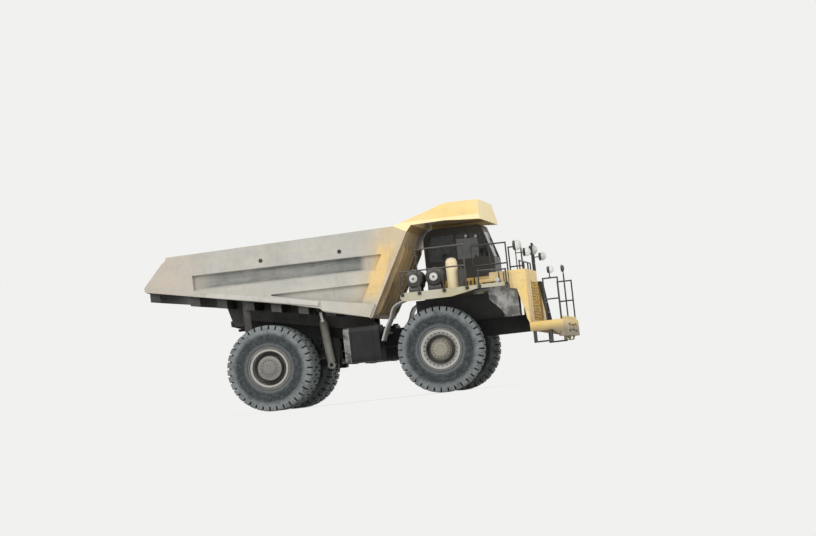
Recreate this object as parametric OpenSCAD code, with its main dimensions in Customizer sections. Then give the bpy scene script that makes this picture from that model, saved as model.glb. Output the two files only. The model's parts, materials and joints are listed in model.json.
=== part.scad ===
// Rigid two-axle mining dump truck, full size, in millimetres.
// X runs forward, Y to the driver's left, Z up. The origin is on the ground,
// in the middle of the truck's length and width.

/* [Layout] */
// Front axle to rear axle
wheelbase = 4300; // [4200:10:4450]
// Front axle to the front face of the bumper
front_reach = 3160; // [3080:10:3300]
// Front axle back to the tail tip of the dump bed
tail_reach = 7290; // [7200:10:7450]
// Width over the deck
deck_w = 4560; // [4540:10:4640]
// Between the middles of the front tyres
front_track = 3450; // [3430:5:3480]
// Between the middles of the rear pairs of tyres
rear_track = 3080; // [3060:5:3110]

/* [Tyres] */
// Tyre diameter over the lugs
tyre_d = 2145; // [2100:5:2160]
// Tyre section width
tyre_w = 650; // [620:5:660]
// Lugs along each shoulder
lug_count = 36; // [30:2:40]
// Gap between two lugs at the shoulder
lug_gap = 42; // [30:1:60]
// Depth of the tread grooves
lug_depth = 46; // [30:1:60]
// Clear gap between the twin tyres
twin_gap = 100; // [90:5:120]
// Rim diameter at the bead
rim_d = 1010; // [960:5:1030]

/* [Dump bed] */
// Width over the bed's side rails
bed_w = 4000; // [3900:10:4060]
// Thickness of a side wall behind its ribs
bed_wall = 70; // [50:5:90]
// How far the side ribs stand proud of the wall
bed_rib = 120; // [80:5:140]
// Thickness of the floor plate
bed_floor_t = 60; // [40:5:80]
// Height of the bed's tail tip
tail_z = 3310; // [3280:5:3360]
// Height of the top rail at the rear
rail_rear_z = 4120; // [4080:5:4160]
// Height of the top rail at the front
rail_front_z = 4240; // [4200:5:4260]
// Height of the body's lowest corner at the headboard
bed_low_z = 2040; // [2030:5:2080]
// Height of the canopy over the cab
canopy_top_z = 4705; // [4650:5:4760]
// Height of the tipping pin
pivot_z = 2350; // [2320:5:2400]
// Tipping pin behind the rear axle
pivot_back = 950; // [920:5:1000]
// Tipping pin diameter
pivot_d = 120; // [90:5:130]

/* [Hoists] */
// Middle of each hoist cylinder from the truck's middle
hoist_y = 960; // [940:5:980]
// Hoist foot pin behind the front axle
hoist_foot_back = 2920; // [2880:5:2960]
// Hoist foot pin height
hoist_foot_z = 1000; // [960:5:1040]
// Hoist top pin behind the front axle
hoist_top_back = 3060; // [3020:5:3100]
// Hoist top pin height
hoist_top_z = 2430; // [2410:5:2440]
// Barrel diameter
barrel_d = 210; // [190:5:230]
// Middle stage diameter
stage_d = 168; // [150:1:176]
// Rod diameter
rod_d = 124; // [100:1:130]

/* [Chassis] */
// Outside width over the frame rails
frame_w = 1120; // [1080:10:1160]
// Width of one frame rail
rail_t = 140; // [120:5:160]
// Kingpin from the truck's middle
kingpin_y = 1150; // [1130:5:1170]
// Diameter of a front suspension strut
strut_d = 300; // [260:5:310]
// Front wheel spindle diameter
spindle_d = 180; // [150:5:200]
// Rear axle tube diameter
axle_tube_d = 420; // [380:5:450]
// Bumper width
bumper_w = 4060; // [3900:10:4200]
// Height of the bumper's top
bumper_top_z = 1480; // [1460:5:1500]
// Height of the bumper's bottom at its front
bumper_low_z = 1080; // [1040:5:1120]

// Tow eye bore diameter
tow_d = 80; // [60:2:90]
// Thickness of a tow eye
tow_t = 60; // [40:2:80]

/* [Deck and cab] */
// Height of the deck's walking surface
deck_z = 2550; // [2530:5:2580]
// Depth of the deck's side skirt
skirt_h = 215; // [180:5:230]
// Deck's rear end behind the front axle
deck_back = 820; // [780:5:860]
// Front axle to the back of the raised front box
deck_front = 1890; // [1860:5:1920]
// Front axle to the flat front face
face_reach = 2310; // [2280:5:2340]
// Height of the front box over the deck
face_rise = 275; // [240:5:290]
// Cab width
cab_w = 1420; // [1380:10:1460]
// Cab's outer side from the truck's middle
cab_out_y = 1760; // [1740:5:1800]
// Cab roof height
cab_roof_z = 4170; // [4120:5:4200]
// Thickness of the cab's walls
cab_wall = 60; // [45:5:70]
// Handrail tube diameter
handrail_d = 38; // [30:1:45]
// Top handrail above the deck
handrail_h = 1030; // [950:10:1100]

/* [Hidden] */

$fn = 48;
eps = 1;

// Stations along the truck
fax = (tail_reach - front_reach) / 2;
rax = fax - wheelbase;
wheel_z = tyre_d / 2;
nose_x = fax + front_reach;
tail_x = fax - tail_reach;
pivot_x = rax - pivot_back;

// Running clearances
gap = 6;
fit = 0.5;

yellow = [0.93, 0.77, 0.40];
cream = [0.85, 0.81, 0.70];
tan_shade = [0.62, 0.50, 0.33];
grey = [0.55, 0.55, 0.54];
pale = [0.82, 0.83, 0.83];
dark = [0.13, 0.13, 0.13];
rubber = [0.36, 0.34, 0.32];
olive = [0.30, 0.30, 0.27];
glass = [0.25, 0.32, 0.36];

// Plain solids

// A box from its lowest to its highest corner
module block(x0, x1, y0, y1, z0, z1) {
    translate([x0, y0, z0]) cube([x1 - x0, y1 - y0, z1 - z0]);
}

// A side view outline in X and Z, made solid from y0 to y1
module slab(points, y0, y1) {
    translate([0, y1, 0]) rotate([90, 0, 0]) linear_extrude(y1 - y0) polygon(points);
}

// A front view outline in Y and Z, made solid from x0 to x1
module slice(points, x0, x1) {
    translate([x0, 0, 0]) rotate([90, 0, 90]) linear_extrude(x1 - x0) polygon(points);
}

// A round bar across the truck
module bar_y(x, z, d, y0, y1) {
    translate([x, y1, z]) rotate([90, 0, 0]) cylinder(d = d, h = y1 - y0);
}

// A round bar from one point to another
module bar(p, q, d) {
    v = q - p;
    flat = norm([v.x, v.y]);
    translate(p) rotate([0, atan2(flat, v.z), atan2(v.y, v.x)]) cylinder(d = d, h = norm(v));
}

// Points on a round corner in side view
function arc(c, r, a0, a1, n = 6) = [for (i = [0 : n]) let (a = a0 + (a1 - a0) * i / n) c + r * [cos(a),
    sin(a)]];

// The same piece on both sides
module both() {
    children();
    mirror([0, 1, 0]) children();
}

// The piece as drawn on the left, or mirrored to the right
module on_side(side) {
    if (side > 0) children();
    else mirror([0, 1, 0]) children();
}

// Height on a straight line through two points of an X and Z outline
function line_z(p, q, x) = p[1] + (q[1] - p[1]) * (x - p[0]) / (q[0] - p[0]);

// Tyres

lug_reach = 112;
tread_w = tyre_w - 40;
tread_r = tyre_d / 2;
bead_r = rim_d / 2;

bead_y = tyre_w / 2 - 70;
casing_t = 52;

// Tyre section on one side, from the bead over the side wall to the tread
function casing_out() = let (half = tyre_w / 2, groove = tread_r - lug_depth) [
    [bead_r, bead_y], [bead_r + 45, bead_y], [bead_r + 80, bead_y + 38], [bead_r + 190, half - 8],
    [bead_r + 260, half], [tread_r - lug_reach - 90, half - 6],
    [tread_r - lug_reach, half - 26], [groove - 14, half - 120], [groove, 0]];

// Inside of the same section
function casing_in() = let (half = tyre_w / 2 - casing_t, groove = tread_r - lug_depth) [
    [groove - casing_t, 0], [groove - casing_t - 20, half - 90], [tread_r - lug_reach - 90, half - 6],
    [bead_r + 260, half], [bead_r + 90, half - 30], [bead_r, bead_y - 80]];

// Reverses an outline and turns it over to the other side
function other_side(points) = [for (i = [len(points) - 1 : -1 : 0]) [points[i][0], -points[i][1]]];

// Envelope of the lugs: rounded shoulders
function lug_hull() = let (w = tread_w / 2, low = tread_r - lug_reach - 60) [
    [low, 14], [tread_r, 14], [tread_r, w - 60], [tread_r - 18, w - 14],
    [tread_r - 60, w], [low, w]];

// Ring of lugs in side view; a gap in it is one lug_gap wide
module lug_ring() {
    share = lug_gap / (2 * PI * tread_r) * 180;
    step = 360 / lug_count;
    low = tread_r - lug_reach - 50;
    difference() {
        polygon([for (i = [0 : lug_count - 1], k = [[-1, 0], [-1, 1], [1, 1], [1, 0]])
            let (a = i * step - 90 + k[0] * (step / 2 - share), r = k[1] > 0 ? tread_r + 8 : low)
            [r * cos(a), r * sin(a)]]);
        circle(r = low - 30, $fn = 36);
    }
}

// A whole tyre about the Z axis, its middle at the origin
module tyre() {
    rotate_extrude($fn = 72) polygon(concat(casing_out(), other_side(casing_out()),
        other_side(casing_in()), casing_in()));
    for (s = [0, 1]) mirror([0, 0, s]) rotate([0, 0, s * 180 / lug_count])
        intersection() {
            translate([0, 0, 10]) linear_extrude(tread_w / 2) lug_ring();
            rotate_extrude($fn = 72) polygon(lug_hull());
        }
}

// Stands a wheel upright with its outer side to the left
module upright(x, y) {
    translate([x, y, wheel_z]) rotate([-90, 0, 0]) children();
}

front_y = front_track / 2;
rear_inner_y = rear_track / 2 - (tyre_w + twin_gap) / 2;
rear_outer_y = rear_track / 2 + (tyre_w + twin_gap) / 2;

module front_tyre(side) {
    color(rubber) on_side(side) upright(fax, front_y) tyre();
}

module rear_tyres(side) {
    color(rubber) on_side(side) {
        upright(rax, rear_inner_y) tyre();
        upright(rax, rear_outer_y) tyre();
    }
}

// Rims

rim_t = 24;
flange_d = rim_d + 66;
hub_d = 700;
hub_face_r = 228;
hub_ring_r = 155;
hub_cap_r = 112;
face_ring_r = 356;
spindle_end = 200;

// Rim barrel with its flanges and lock ring, about Z, outer side up
module rim_barrel() {
    w = bead_y + fit;
    r = bead_r - fit;
    rotate_extrude($fn = 72) polygon([
        [r - rim_t, -w - 20], [flange_d / 2, -w - 20], [flange_d / 2, -w], [r, -w], [r, w],
        [flange_d / 2, w], [flange_d / 2, w + 20], [r + 6, w + 20], [r, w + 12], [r - 8, w + 12],
        [r - 14, w + 30], [r - rim_t - 16, w + 30], [r - rim_t - 22, w + 18], [r - rim_t - 50, w + 18],
        [r - rim_t - 50, w - 8], [r - rim_t, w - 40]]);
}

module front_rim(side) {
    w = bead_y;
    color(pale) on_side(side) upright(fax, front_y) difference() {
        union() {
            rim_barrel();
            rotate_extrude($fn = 72) polygon([
                [0, -w + 60], [hub_d / 2 - 60, -w + 60], [hub_d / 2, w - 230],
                [bead_r - rim_t + 2, w - 210], [bead_r - rim_t + 2, w - 14], [face_ring_r, w - 14],
                [face_ring_r - 14, w - 150], [hub_face_r + 24, w - 110], [hub_face_r, w + 4],
                [hub_ring_r + 30, w + 10], [hub_ring_r + 24, w + 44], [hub_ring_r, w + 60],
                [hub_cap_r, w + 62], [hub_cap_r - 6, w + 50], [0, w + 50]]);
        }
        translate([0, 0, -tyre_w]) cylinder(d = spindle_d + 2 * fit, h = tyre_w + spindle_end + gap);
    }
}

planet_d = 630;
planet_cap_r = 150;

module rear_rims(side) {
    w = bead_y;
    pitch = tyre_w + twin_gap;
    disc_r = bead_r - rim_t + 2;
    bore_d = axle_tube_d - 120 + 2 * fit;
    color(pale) on_side(side) difference() {
        union() {
            for (y = [rear_inner_y, rear_outer_y]) upright(rax, y) rim_barrel();
            upright(rax, rear_outer_y) rotate_extrude($fn = 72) polygon([
                [0, -w - pitch + 120], [planet_d / 2 - 40, -w - pitch + 120],
                [planet_d / 2 - 40, -pitch + 40], [disc_r, -pitch + 60], [disc_r, -pitch + 110],
                [planet_d / 2 + 20, -pitch + 130], [planet_d / 2 + 20, -60],
                [disc_r, -40], [disc_r, 10], [planet_d / 2 + 14, 30], [planet_d / 2, w - 60],
                [planet_d / 2 - 24, w - 20], [planet_d / 2 - 70, w], [planet_cap_r + 20, w + 6],
                [planet_cap_r, w + 36], [planet_cap_r - 40, w + 45], [0, w + 45]]);
        }
        upright(rax, rear_inner_y - tyre_w) cylinder(d = bore_d, h = 2 * tyre_w);
    }
}

// Steering

arm_back = 330;
arm_z = wheel_z - 60;
knuckle_gap = 8;

kingpin_d = 120;
kingpin_reach = 110;

module knuckle(side) {
    color(grey) on_side(side) {
        bar_y(fax, wheel_z, spindle_d, kingpin_y, front_y + spindle_end);
        bar_y(fax, wheel_z, spindle_d + 160, kingpin_y, front_y - tyre_w / 2 + 40);
        translate([fax, kingpin_y, wheel_z - 210]) cylinder(d = strut_d - 20, h = 420);
        translate([fax, kingpin_y, wheel_z]) cylinder(d = kingpin_d, h = 210 + knuckle_gap + kingpin_reach);
        slab([[fax, arm_z - 40], [fax, arm_z + 45], [fax - arm_back, arm_z + 40],
            [fax - arm_back, arm_z - 40]], kingpin_y - 60, kingpin_y + 60);
        translate([fax - arm_back, kingpin_y, arm_z - 40]) cylinder(d = 150, h = 80);
    }
}

seat = 0.3;

module tie_rod() {
    top = arm_z - 40 - seat;
    color(grey) {
        bar_y(fax - arm_back, top - 40, 70, -kingpin_y + 40, kingpin_y - 40);
        both() translate([fax - arm_back, kingpin_y, top - 80]) cylinder(d = 130, h = 80);
    }
}

// Frame

rail_out = frame_w / 2;
rail_in = rail_out - rail_t;
rail_level_z = 1720;
rail_h = 420;
rail_front = 2165;
kick_x = fax - 1750;
rail_end_x = pivot_x - 150;
rail_end_z = pivot_z + 90;

// Top line of a frame rail over its rising rear part
function rail_top(x) = line_z([kick_x, rail_level_z], [rail_end_x, rail_end_z], x);

// Underside of a frame rail over the same part
function rail_low(x) = line_z([kick_x, rail_level_z - rail_h], [pivot_x + 160, pivot_z - 230], x);

clamp_t = 40;
strut_top_z = rail_level_z + 330;
rear_strut_x = rax - 420;
rear_strut_y = rail_in - 90;
rear_strut_top = round(rail_low(rear_strut_x) - 60);
a_frame_x = rax + 1480;
a_frame_z = 1085;
tow_rear_x = pivot_x - 40;
tow_rear_z = rail_top(rax - 620) - 200;

module main_frame() {
    foot_x = fax - hoist_foot_back;
    color(dark) difference() {
        union() {
            both() {
                slab([[fax + rail_front, rail_level_z], [kick_x, rail_level_z],
                    [rail_end_x, rail_end_z], [rail_end_x - 20, pivot_z - 120],
                    [pivot_x + 160, pivot_z - 230], [kick_x, rail_level_z - rail_h],
                    [fax + rail_front, rail_level_z - rail_h]], rail_in, rail_out);
                // Hoist foot bracket and its pin
                slab([[foot_x + 250, rail_low(foot_x + 250) + 120], [foot_x - 250,
                    rail_low(foot_x - 250) + 120],
                    [foot_x - 120, hoist_foot_z - 90], [foot_x + 120, hoist_foot_z - 90]],
                    rail_out - eps, hoist_y - barrel_d / 2 - gap);
                bar_y(foot_x, hoist_foot_z, 100, rail_out, hoist_y + barrel_d / 2);
                // Hanger of the rear axle's A-frame
                slab([[a_frame_x - 110, rail_low(a_frame_x - 110) + 20], [a_frame_x + 110,
                    rail_low(a_frame_x + 110) + 20],
                    [a_frame_x + 90, a_frame_z - 90], [a_frame_x - 90, a_frame_z - 90]], rail_in, rail_out);
                // Top seat of a rear strut
                block(rear_strut_x - 130, rear_strut_x + 130, rear_strut_y - 110, rail_in + eps,
                    rear_strut_top, rear_strut_top + 160);
                // Clamp of a front strut
                slice([[rail_in, rail_level_z - 120], [kingpin_y, rail_level_z + 20],
                    [kingpin_y, rail_level_z + 280], [rail_in, rail_level_z + 280]], fax - 170, fax + 170);
                translate([fax, kingpin_y, rail_level_z + 20]) cylinder(d = strut_d + 2 * clamp_t, h = 260);
            }
            for (x = [fax + 1900, fax - 2500, rax + 500, rax - 620])
                bar_y(x, x < kick_x ? rail_top(x) - 200 : rail_level_z - 210, 200,
                    -rail_in - eps, rail_in + eps);
            // Rear tow plate
            block(tow_rear_x - 90, rax - 620, -130, 130, tow_rear_z - tow_t / 2, tow_rear_z + tow_t / 2);
            // Crossbeam under the engine
            slab([[fax - 260, rail_level_z - rail_h - 60], [fax - 220, engine_low_z],
                [fax + 220, engine_low_z], [fax + 260, rail_level_z - rail_h - 60]],
                -rail_in - eps, rail_in + eps);
        }
        translate([tow_rear_x, 0, tow_rear_z - tow_t]) cylinder(d = tow_d, h = 2 * tow_t);
        both() bar_y(pivot_x, pivot_z, pivot_d + 2 * fit, rail_in - 50, rail_out + 50);
        both() translate([fax, kingpin_y, rail_level_z - 200]) cylinder(d = strut_d + 4 * seat, h = 700);
    }
}

strut_rod_d = strut_d - 70;
strut_rod_h = 330;
rear_strut_d = 220;
axle_pad = 200;

module suspension_struts() {
    foot = wheel_z + 210 + knuckle_gap;
    rear_foot = wheel_z + axle_pad;
    color(grey) {
        // Front struts: rod with its kingpin socket, barrel in the clamp, cap on top
        both() difference() {
            union() {
                translate([fax, kingpin_y, foot]) cylinder(d = strut_rod_d, h = strut_rod_h);
                translate([fax, kingpin_y, foot]) cylinder(d = strut_rod_d + 50, h = 70);
                translate([fax, kingpin_y, foot + strut_rod_h - eps])
                    cylinder(d = strut_d, h = strut_top_z - foot - strut_rod_h);
                translate([fax, kingpin_y, strut_top_z - eps]) cylinder(d = strut_d + 50, h = 40);
            }
            translate([fax, kingpin_y, wheel_z + 210])
                cylinder(d = kingpin_d + 2 * fit, h = knuckle_gap + kingpin_reach + gap);
        }
        both() {
            translate([rear_strut_x, rear_strut_y, rear_foot])
                cylinder(d = rear_strut_d - 50, h = rear_strut_top - rear_foot);
            translate([rear_strut_x, rear_strut_y, rear_foot])
                cylinder(d = rear_strut_d, h = (rear_strut_top - rear_foot) * 0.55);
        }
    }
}

brake_d = 560;

module rear_axle() {
    reach = rear_inner_y - tyre_w / 2 - 40;
    color(grey) {
        bar_y(rax, wheel_z, axle_tube_d, -reach, reach);
        both() bar_y(rax, wheel_z, axle_tube_d - 120, reach - eps, rear_outer_y - tyre_w / 2 + 40);
        both() bar_y(rax, wheel_z, brake_d, reach - 90, reach);
        translate([rax, 0, wheel_z]) rotate([-90, 0, 0]) rotate_extrude()
            polygon([[0, -300], [260, -280], [430, -150], [430, 150], [260, 280], [0, 300]]);
        // A-frame that runs forward to the frame
        both() slab([[rax, wheel_z - 150], [rax, wheel_z + 100], [a_frame_x, a_frame_z + 75],
            [a_frame_x, a_frame_z - 75]], rail_in - 180, rail_in - 40);
        bar_y(a_frame_x, a_frame_z, 150, -rail_in, rail_in);
        // Seats of the rear struts
        both() slab([[rear_strut_x - 120, wheel_z + 40], [rear_strut_x - 120, wheel_z + axle_pad],
            [rear_strut_x + 120, wheel_z + axle_pad], [rax, wheel_z + axle_pad - 30], [rax, wheel_z - 60]],
            rear_strut_y - 110, rear_strut_y + 60);
    }
}

engine_low_z = rail_level_z - rail_h + 70;

module engine_block() {
    color(dark) block(fax - 700, fax + 1500, -rail_in, rail_in, engine_low_z, deck_z - 180);
}

module gearbox() {
    z = rail_level_z - 260;
    color(dark) {
        block(fax - 2300, fax - 1650, -300, 300, z - 140, z + 140);
        block(fax - 2000, fax - 1900, -rail_in, rail_in, z - 50, z + 50);
        bar([fax - 1651, 0, z], [fax - 700, 0, z], 150);
        bar([fax - 2299, 0, z], [rax + 445, 0, wheel_z + 60], 110);
    }
}

// Front end

face_x = fax + face_reach;
box_back = fax + deck_front;
box_top = deck_z + face_rise;
side_y = bumper_w / 2 - 10;
sheet_t = 30;
grille_y = [-940, 740];
grille_top_z = deck_z + 40;
walkway_y = [800, 1490];

platform_t = 14;
platform_z = bumper_top_z + platform_t;
tow_y = (rail_in + rail_out) / 2;
tow_x = nose_x - 110;
lamp_y = [620, 1180];
bumper_h = bumper_top_z - bumper_low_z;
horn_drop = 220;

// Bumper seen from above: the ends sweep back a little
module bumper_plan() {
    half = bumper_w / 2;
    polygon([[nose_x - 230, -half + 90], [nose_x - 230, half - 90], [nose_x - 120, half],
        [nose_x - 60, half], [nose_x, half - 260], [nose_x, -half + 260], [nose_x - 60, -half],
        [nose_x - 120, -half]]);
}

module front_bumper() {
    half = bumper_w / 2;
    color(yellow) {
        difference() {
            translate([0, 0, bumper_low_z]) linear_extrude(bumper_h) bumper_plan();
            both() block(nose_x - 120, nose_x + eps, lamp_y[0], lamp_y[1], bumper_low_z + 90,
                bumper_top_z - 90);
            // Shallow recess between the lamps
            block(nose_x - 20, nose_x + eps, -lamp_y[0] + 120, lamp_y[0] - 120, bumper_low_z + 120,
                bumper_top_z - 120);
            both() slab([[nose_x - 300, bumper_low_z - eps], [nose_x - 300, bumper_top_z - horn_drop],
                [nose_x - 190, bumper_low_z + 60], [nose_x - 160, bumper_low_z - eps]], half - 500,
                    half + eps);
        }
        // Horns that carry the ends of the bumper
        both() slab([[face_x - 30, bumper_top_z - horn_drop], [face_x - 30, bumper_top_z],
            [nose_x - 100, bumper_top_z], [nose_x - 100, bumper_low_z + 120],
            [nose_x - 190, bumper_low_z + 60], [nose_x - 330, bumper_top_z - horn_drop]], half - 90, half);
        both() slab([[fax + rail_front, rail_level_z - rail_h], [fax + rail_front, bumper_top_z],
            [nose_x - 220, bumper_top_z], [nose_x - 220, bumper_low_z + 20]], rail_in, rail_out);
        // Tow eyes under the bumper
        both() difference() {
            slab([[tow_x - 110, bumper_low_z + eps], [tow_x - 60, bumper_low_z - 110],
                [tow_x + 60, bumper_low_z - 110], [tow_x + 100, bumper_low_z + eps]],
                tow_y - tow_t / 2, tow_y + tow_t / 2);
            bar_y(tow_x, bumper_low_z - 50, tow_d, tow_y - tow_t, tow_y + tow_t);
        }
        block(face_x + 1, nose_x - 60, -half + 40, half - 40, bumper_top_z - eps, platform_z);
        // Kick board round the platform
        block(nose_x - 70, nose_x - 60, -half + 40, half - 40, platform_z - eps, platform_z + 70);
    }
}

// Louvred grille: a frame with bars that lean forward
module radiator_grille() {
    z0 = platform_z;
    z1 = grille_top_z;
    bars = 13;
    frame = 60;
    deep = 130;
    pitch = (z1 - z0 - 2 * frame) / bars;
    x1 = face_x - 1;
    color(yellow) {
        difference() {
            block(x1 - deep, x1, grille_y[0], grille_y[1], z0, z1);
            block(x1 - deep - eps, x1 + eps, grille_y[0] + frame, grille_y[1] - frame, z0 + frame,
                z1 - frame);
        }
        for (i = [1 : bars]) let (z = z0 + frame + (i - 0.5) * pitch)
            slab([[x1 - 92, z + 28], [x1 - 82, z + 34], [x1 - 8, z - 16], [x1 - 18, z - 22]],
                grille_y[0] + frame - eps, grille_y[1] - frame + eps);
        for (i = [1, 2]) let (y = grille_y[0] + (grille_y[1] - grille_y[0]) * i / 3)
            block(x1 - 100, x1 - 2, y - 20, y + 20, z0 + frame - eps, z1 - frame + eps);
    }
}

// Outline of a side panel, cut away round the front wheel
side_panel = [[box_back, box_top], [box_back, deck_z - skirt_h + 60], [fax + 2055, 2350], [fax + 2130,
    2060],
    [fax + 2200, 1800], [fax + 2230, 1600], [face_x - 30, bumper_top_z], [face_x, bumper_top_z],
        [face_x, box_top]];

// Yellow panels round the grille: a raised box with a walkway beside it
module front_panels() {
    inner = walkway_y[0];
    outer = walkway_y[1];
    color(yellow) {
        slab(side_panel, -side_y, -side_y + sheet_t);
        // Raised lower panel of the near side
        slab([[fax + 2075, 2300], [fax + 2070, 2630], [face_x - 12, 2410], [face_x - 12, bumper_top_z + 20],
            [face_x - 34, bumper_top_z + 20], [fax + 2240, 1600], [fax + 2210, 1800], [fax + 2140, 2060]],
            -side_y - 8, -side_y + eps);
        // Front face beside and above the grille
        block(face_x - sheet_t, face_x, -side_y, grille_y[0], platform_z, box_top);
        block(face_x - sheet_t, face_x, -side_y, inner, grille_top_z, box_top);
        block(face_x - sheet_t, face_x, grille_y[1], inner, platform_z, box_top);
        block(box_back, face_x, inner - sheet_t, inner, platform_z, box_top);
        block(box_back, box_back + sheet_t, -side_y, inner, deck_z, box_top);
        block(box_back, face_x, -side_y, inner, box_top - sheet_t, box_top);
        // Column outside the walkway
        difference() {
            slab(side_panel, side_y - sheet_t, side_y);
            block(box_back - eps, face_x + eps, side_y - sheet_t - eps, side_y + eps, deck_z - 50,
                box_top + eps);
        }
        block(face_x - sheet_t, face_x, outer, side_y, platform_z, deck_z - 50);
        block(box_back + 150, face_x, outer, outer + sheet_t, platform_z, deck_z - 50);
    }
}

hood_y = [-600, 300];

module engine_hood() {
    top = box_top - 30;
    x0 = fax - 300;
    color(yellow) difference() {
        block(x0, box_back, hood_y[0], hood_y[1], deck_z, top);
        block(x0 + sheet_t, box_back - sheet_t, hood_y[0] + sheet_t, hood_y[1] - sheet_t, deck_z - 10,
            top - sheet_t);
        // Louvres in the side that faces outward
        for (i = [0 : 6]) block(fax + 300 + i * 90, fax + 340 + i * 90, hood_y[0] - eps,
            hood_y[0] + sheet_t + eps,
            deck_z + 70, top - 70);
    }
}

// Deck

deck_t = 50;
skirt_t = 30;

module deck() {
    half = deck_w / 2;
    x0 = fax - deck_back;
    color(cream) {
        block(x0 + 40, box_back, -half + skirt_t, half - skirt_t, deck_z - deck_t, deck_z);
        // Landing at the top of the ladder
        block(box_back - eps, face_x, walkway_y[0] + 1, side_y, deck_z - deck_t, deck_z);
        both() slab([[x0, deck_z - 130], [x0 + 50, deck_z - skirt_h + 20],
            [x0 + 200, deck_z - skirt_h], [fax + 450, deck_z - skirt_h],
            [fax + 1100, deck_z - 90], [box_back, deck_z - 90], [box_back, deck_z],
            [x0 + 60, deck_z], [x0, deck_z - 60]], half - skirt_t, half);
        // Beams under the plate
        for (x = [fax - 620, fax + 700]) block(x - 50, x + 50, -half + skirt_t - eps, half - skirt_t + eps,
            deck_z - deck_t - 70, deck_z - deck_t + eps);
    }
}

rail_foot_t = 12;
rail_y = deck_w / 2 + rail_foot_t + handrail_d / 2 - 2;
handrail_top = deck_z + handrail_h;
handrail_mid = deck_z + handrail_h / 2;
handrail_low = deck_z + 310;
front_rail_x = face_x - 130;
front_rail_z = box_top + 215;
mast_x = [fax + 2710, fax + 3070];
mast_y = bumper_w / 2 - 60;
mast_top = platform_z + 1030;
mid_mast_y = -100;
mid_mast_top = mast_top + 120;
mirror_x = (mast_x[0] + mast_x[1]) / 2;

// A post on the skirt's outer face, with its foot plate
module skirt_post(x, y, top) {
    s = sign(y);
    bar([x, y, deck_z - 95], [x, y, top], handrail_d);
    block(x - 45, x + 45, s > 0 ? deck_w / 2 : -deck_w / 2 - rail_foot_t,
        s > 0 ? deck_w / 2 + rail_foot_t : -deck_w / 2, deck_z - 85, deck_z - 15);
}

module handrails() {
    d = handrail_d;
    walk_y = -800;
    walk = [fax + 890, fax + 1760];
    landing = [fax + 1500, box_back - 60];
    color(pale) {
        // Right side, beside the air cleaners
        skirt_post(fax - 760, -rail_y, handrail_mid);
        skirt_post(fax - 330, -rail_y, handrail_top);
        skirt_post(fax + 290, -rail_y, handrail_mid);
        skirt_post(fax + 860, -rail_y, handrail_top);
        skirt_post(fax + 1165, -rail_y, handrail_low + 30);
        bar([fax - 330 - d / 2, -rail_y, handrail_top], [fax + 860 + d / 2, -rail_y, handrail_top], d);
        bar([fax - 760 - d / 2, -rail_y, handrail_mid], [fax + 860, -rail_y, handrail_mid], d);
        bar([fax + 1165 - d / 2, -rail_y, handrail_low + 30], [fax + 1880, -rail_y, handrail_low], d);
        skirt_post(fax + 1850, -rail_y, handrail_low + 10);
        // Beside the engine hood
        for (x = [walk[0], (walk[0] + walk[1]) / 2, walk[1]]) bar([x, walk_y, deck_z], [x, walk_y,
            handrail_top], d);
        for (z = [handrail_mid, handrail_top]) bar([walk[0] - d / 2, walk_y, z], [walk[1] + d / 2,
            walk_y, z], d);
        // Left side, from the cab to the ladder
        for (x = landing) skirt_post(x, rail_y, handrail_top);
        for (z = [handrail_mid, handrail_top]) bar([landing[0] - d / 2, rail_y, z], [landing[1] + d / 2,
            rail_y, z], d);
        // Across the raised front box
        for (y = [-side_y + 60, -900, 100, walkway_y[0] - 60])
            bar([front_rail_x, y, box_top], [front_rail_x, y, front_rail_z], d);
        bar([front_rail_x, -side_y + 60 - d / 2, front_rail_z], [front_rail_x,
            walkway_y[0] - 60 + d / 2, front_rail_z], d);
        // Beside the top of the ladder
        for (y = [walkway_y[1] + 120, side_y - 60]) bar([front_rail_x, y, deck_z], [front_rail_x, y,
            handrail_top], d);
        for (z = [handrail_mid, handrail_top])
            bar([front_rail_x, walkway_y[1] + 120 - d / 2, z], [front_rail_x, side_y - 60 + d / 2, z], d);
        // Masts on the bumper platform
        both() for (x = mast_x) bar([x, mast_y, platform_z], [x, mast_y, mast_top], d);
        both() for (z = [(platform_z + mast_top) / 2, mast_top])
            bar([mast_x[0] - d / 2, mast_y, z], [mast_x[1] + d / 2, mast_y, z], d);
        bar([mast_x[1], mid_mast_y, platform_z], [mast_x[1], mid_mast_y, mid_mast_top], d);
        // Pad that carries the near mirror
        block(mirror_x - 25, mirror_x + 25, -mast_y - 25, -mast_y + 25, mast_top, mast_top + 30);
    }
}

box_y = [150 - deck_w / 2, 720 - deck_w / 2];
box_x = [fax + 1160, fax + 1420, fax + 1640];
box_z = [deck_z + 40, deck_z + 122, deck_z + 270];

// Stepped tool box on feet, and two columns in front of it
module deck_boxes() {
    bend = 14;
    foot_w = 60;
    column_x = [fax + 1665, fax + 1780];
    color(yellow) {
        slab([[box_x[0], box_z[0]], [box_x[0], box_z[1] - bend], [box_x[0] + bend, box_z[1]], [box_x[1],
            box_z[1]],
            [box_x[1], box_z[2] - bend], [box_x[1] + bend, box_z[2]], [box_x[2], box_z[2]], [box_x[2],
                box_z[0]]],
            box_y[0], box_y[1]);
        for (x = [box_x[0] + 20, box_x[2] - 80], y = [box_y[0] + 30, box_y[1] - 90])
            block(x, x + foot_w, y, y + foot_w, deck_z, box_z[0] + eps);
        for (x = column_x) translate([x, box_y[0] + 30, deck_z]) linear_extrude(box_z[2] - deck_z)
            polygon([[0, 20], [20, 0], [75, 0], [95, 20], [95, 480], [0, 480]]);
    }
}

cleaner_d = 450;
cleaner_y = [280 - deck_w / 2, 1030 - deck_w / 2];
cleaner_z = deck_z + 330;
cleaner_x = [fax - 480, fax + 30];

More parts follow.
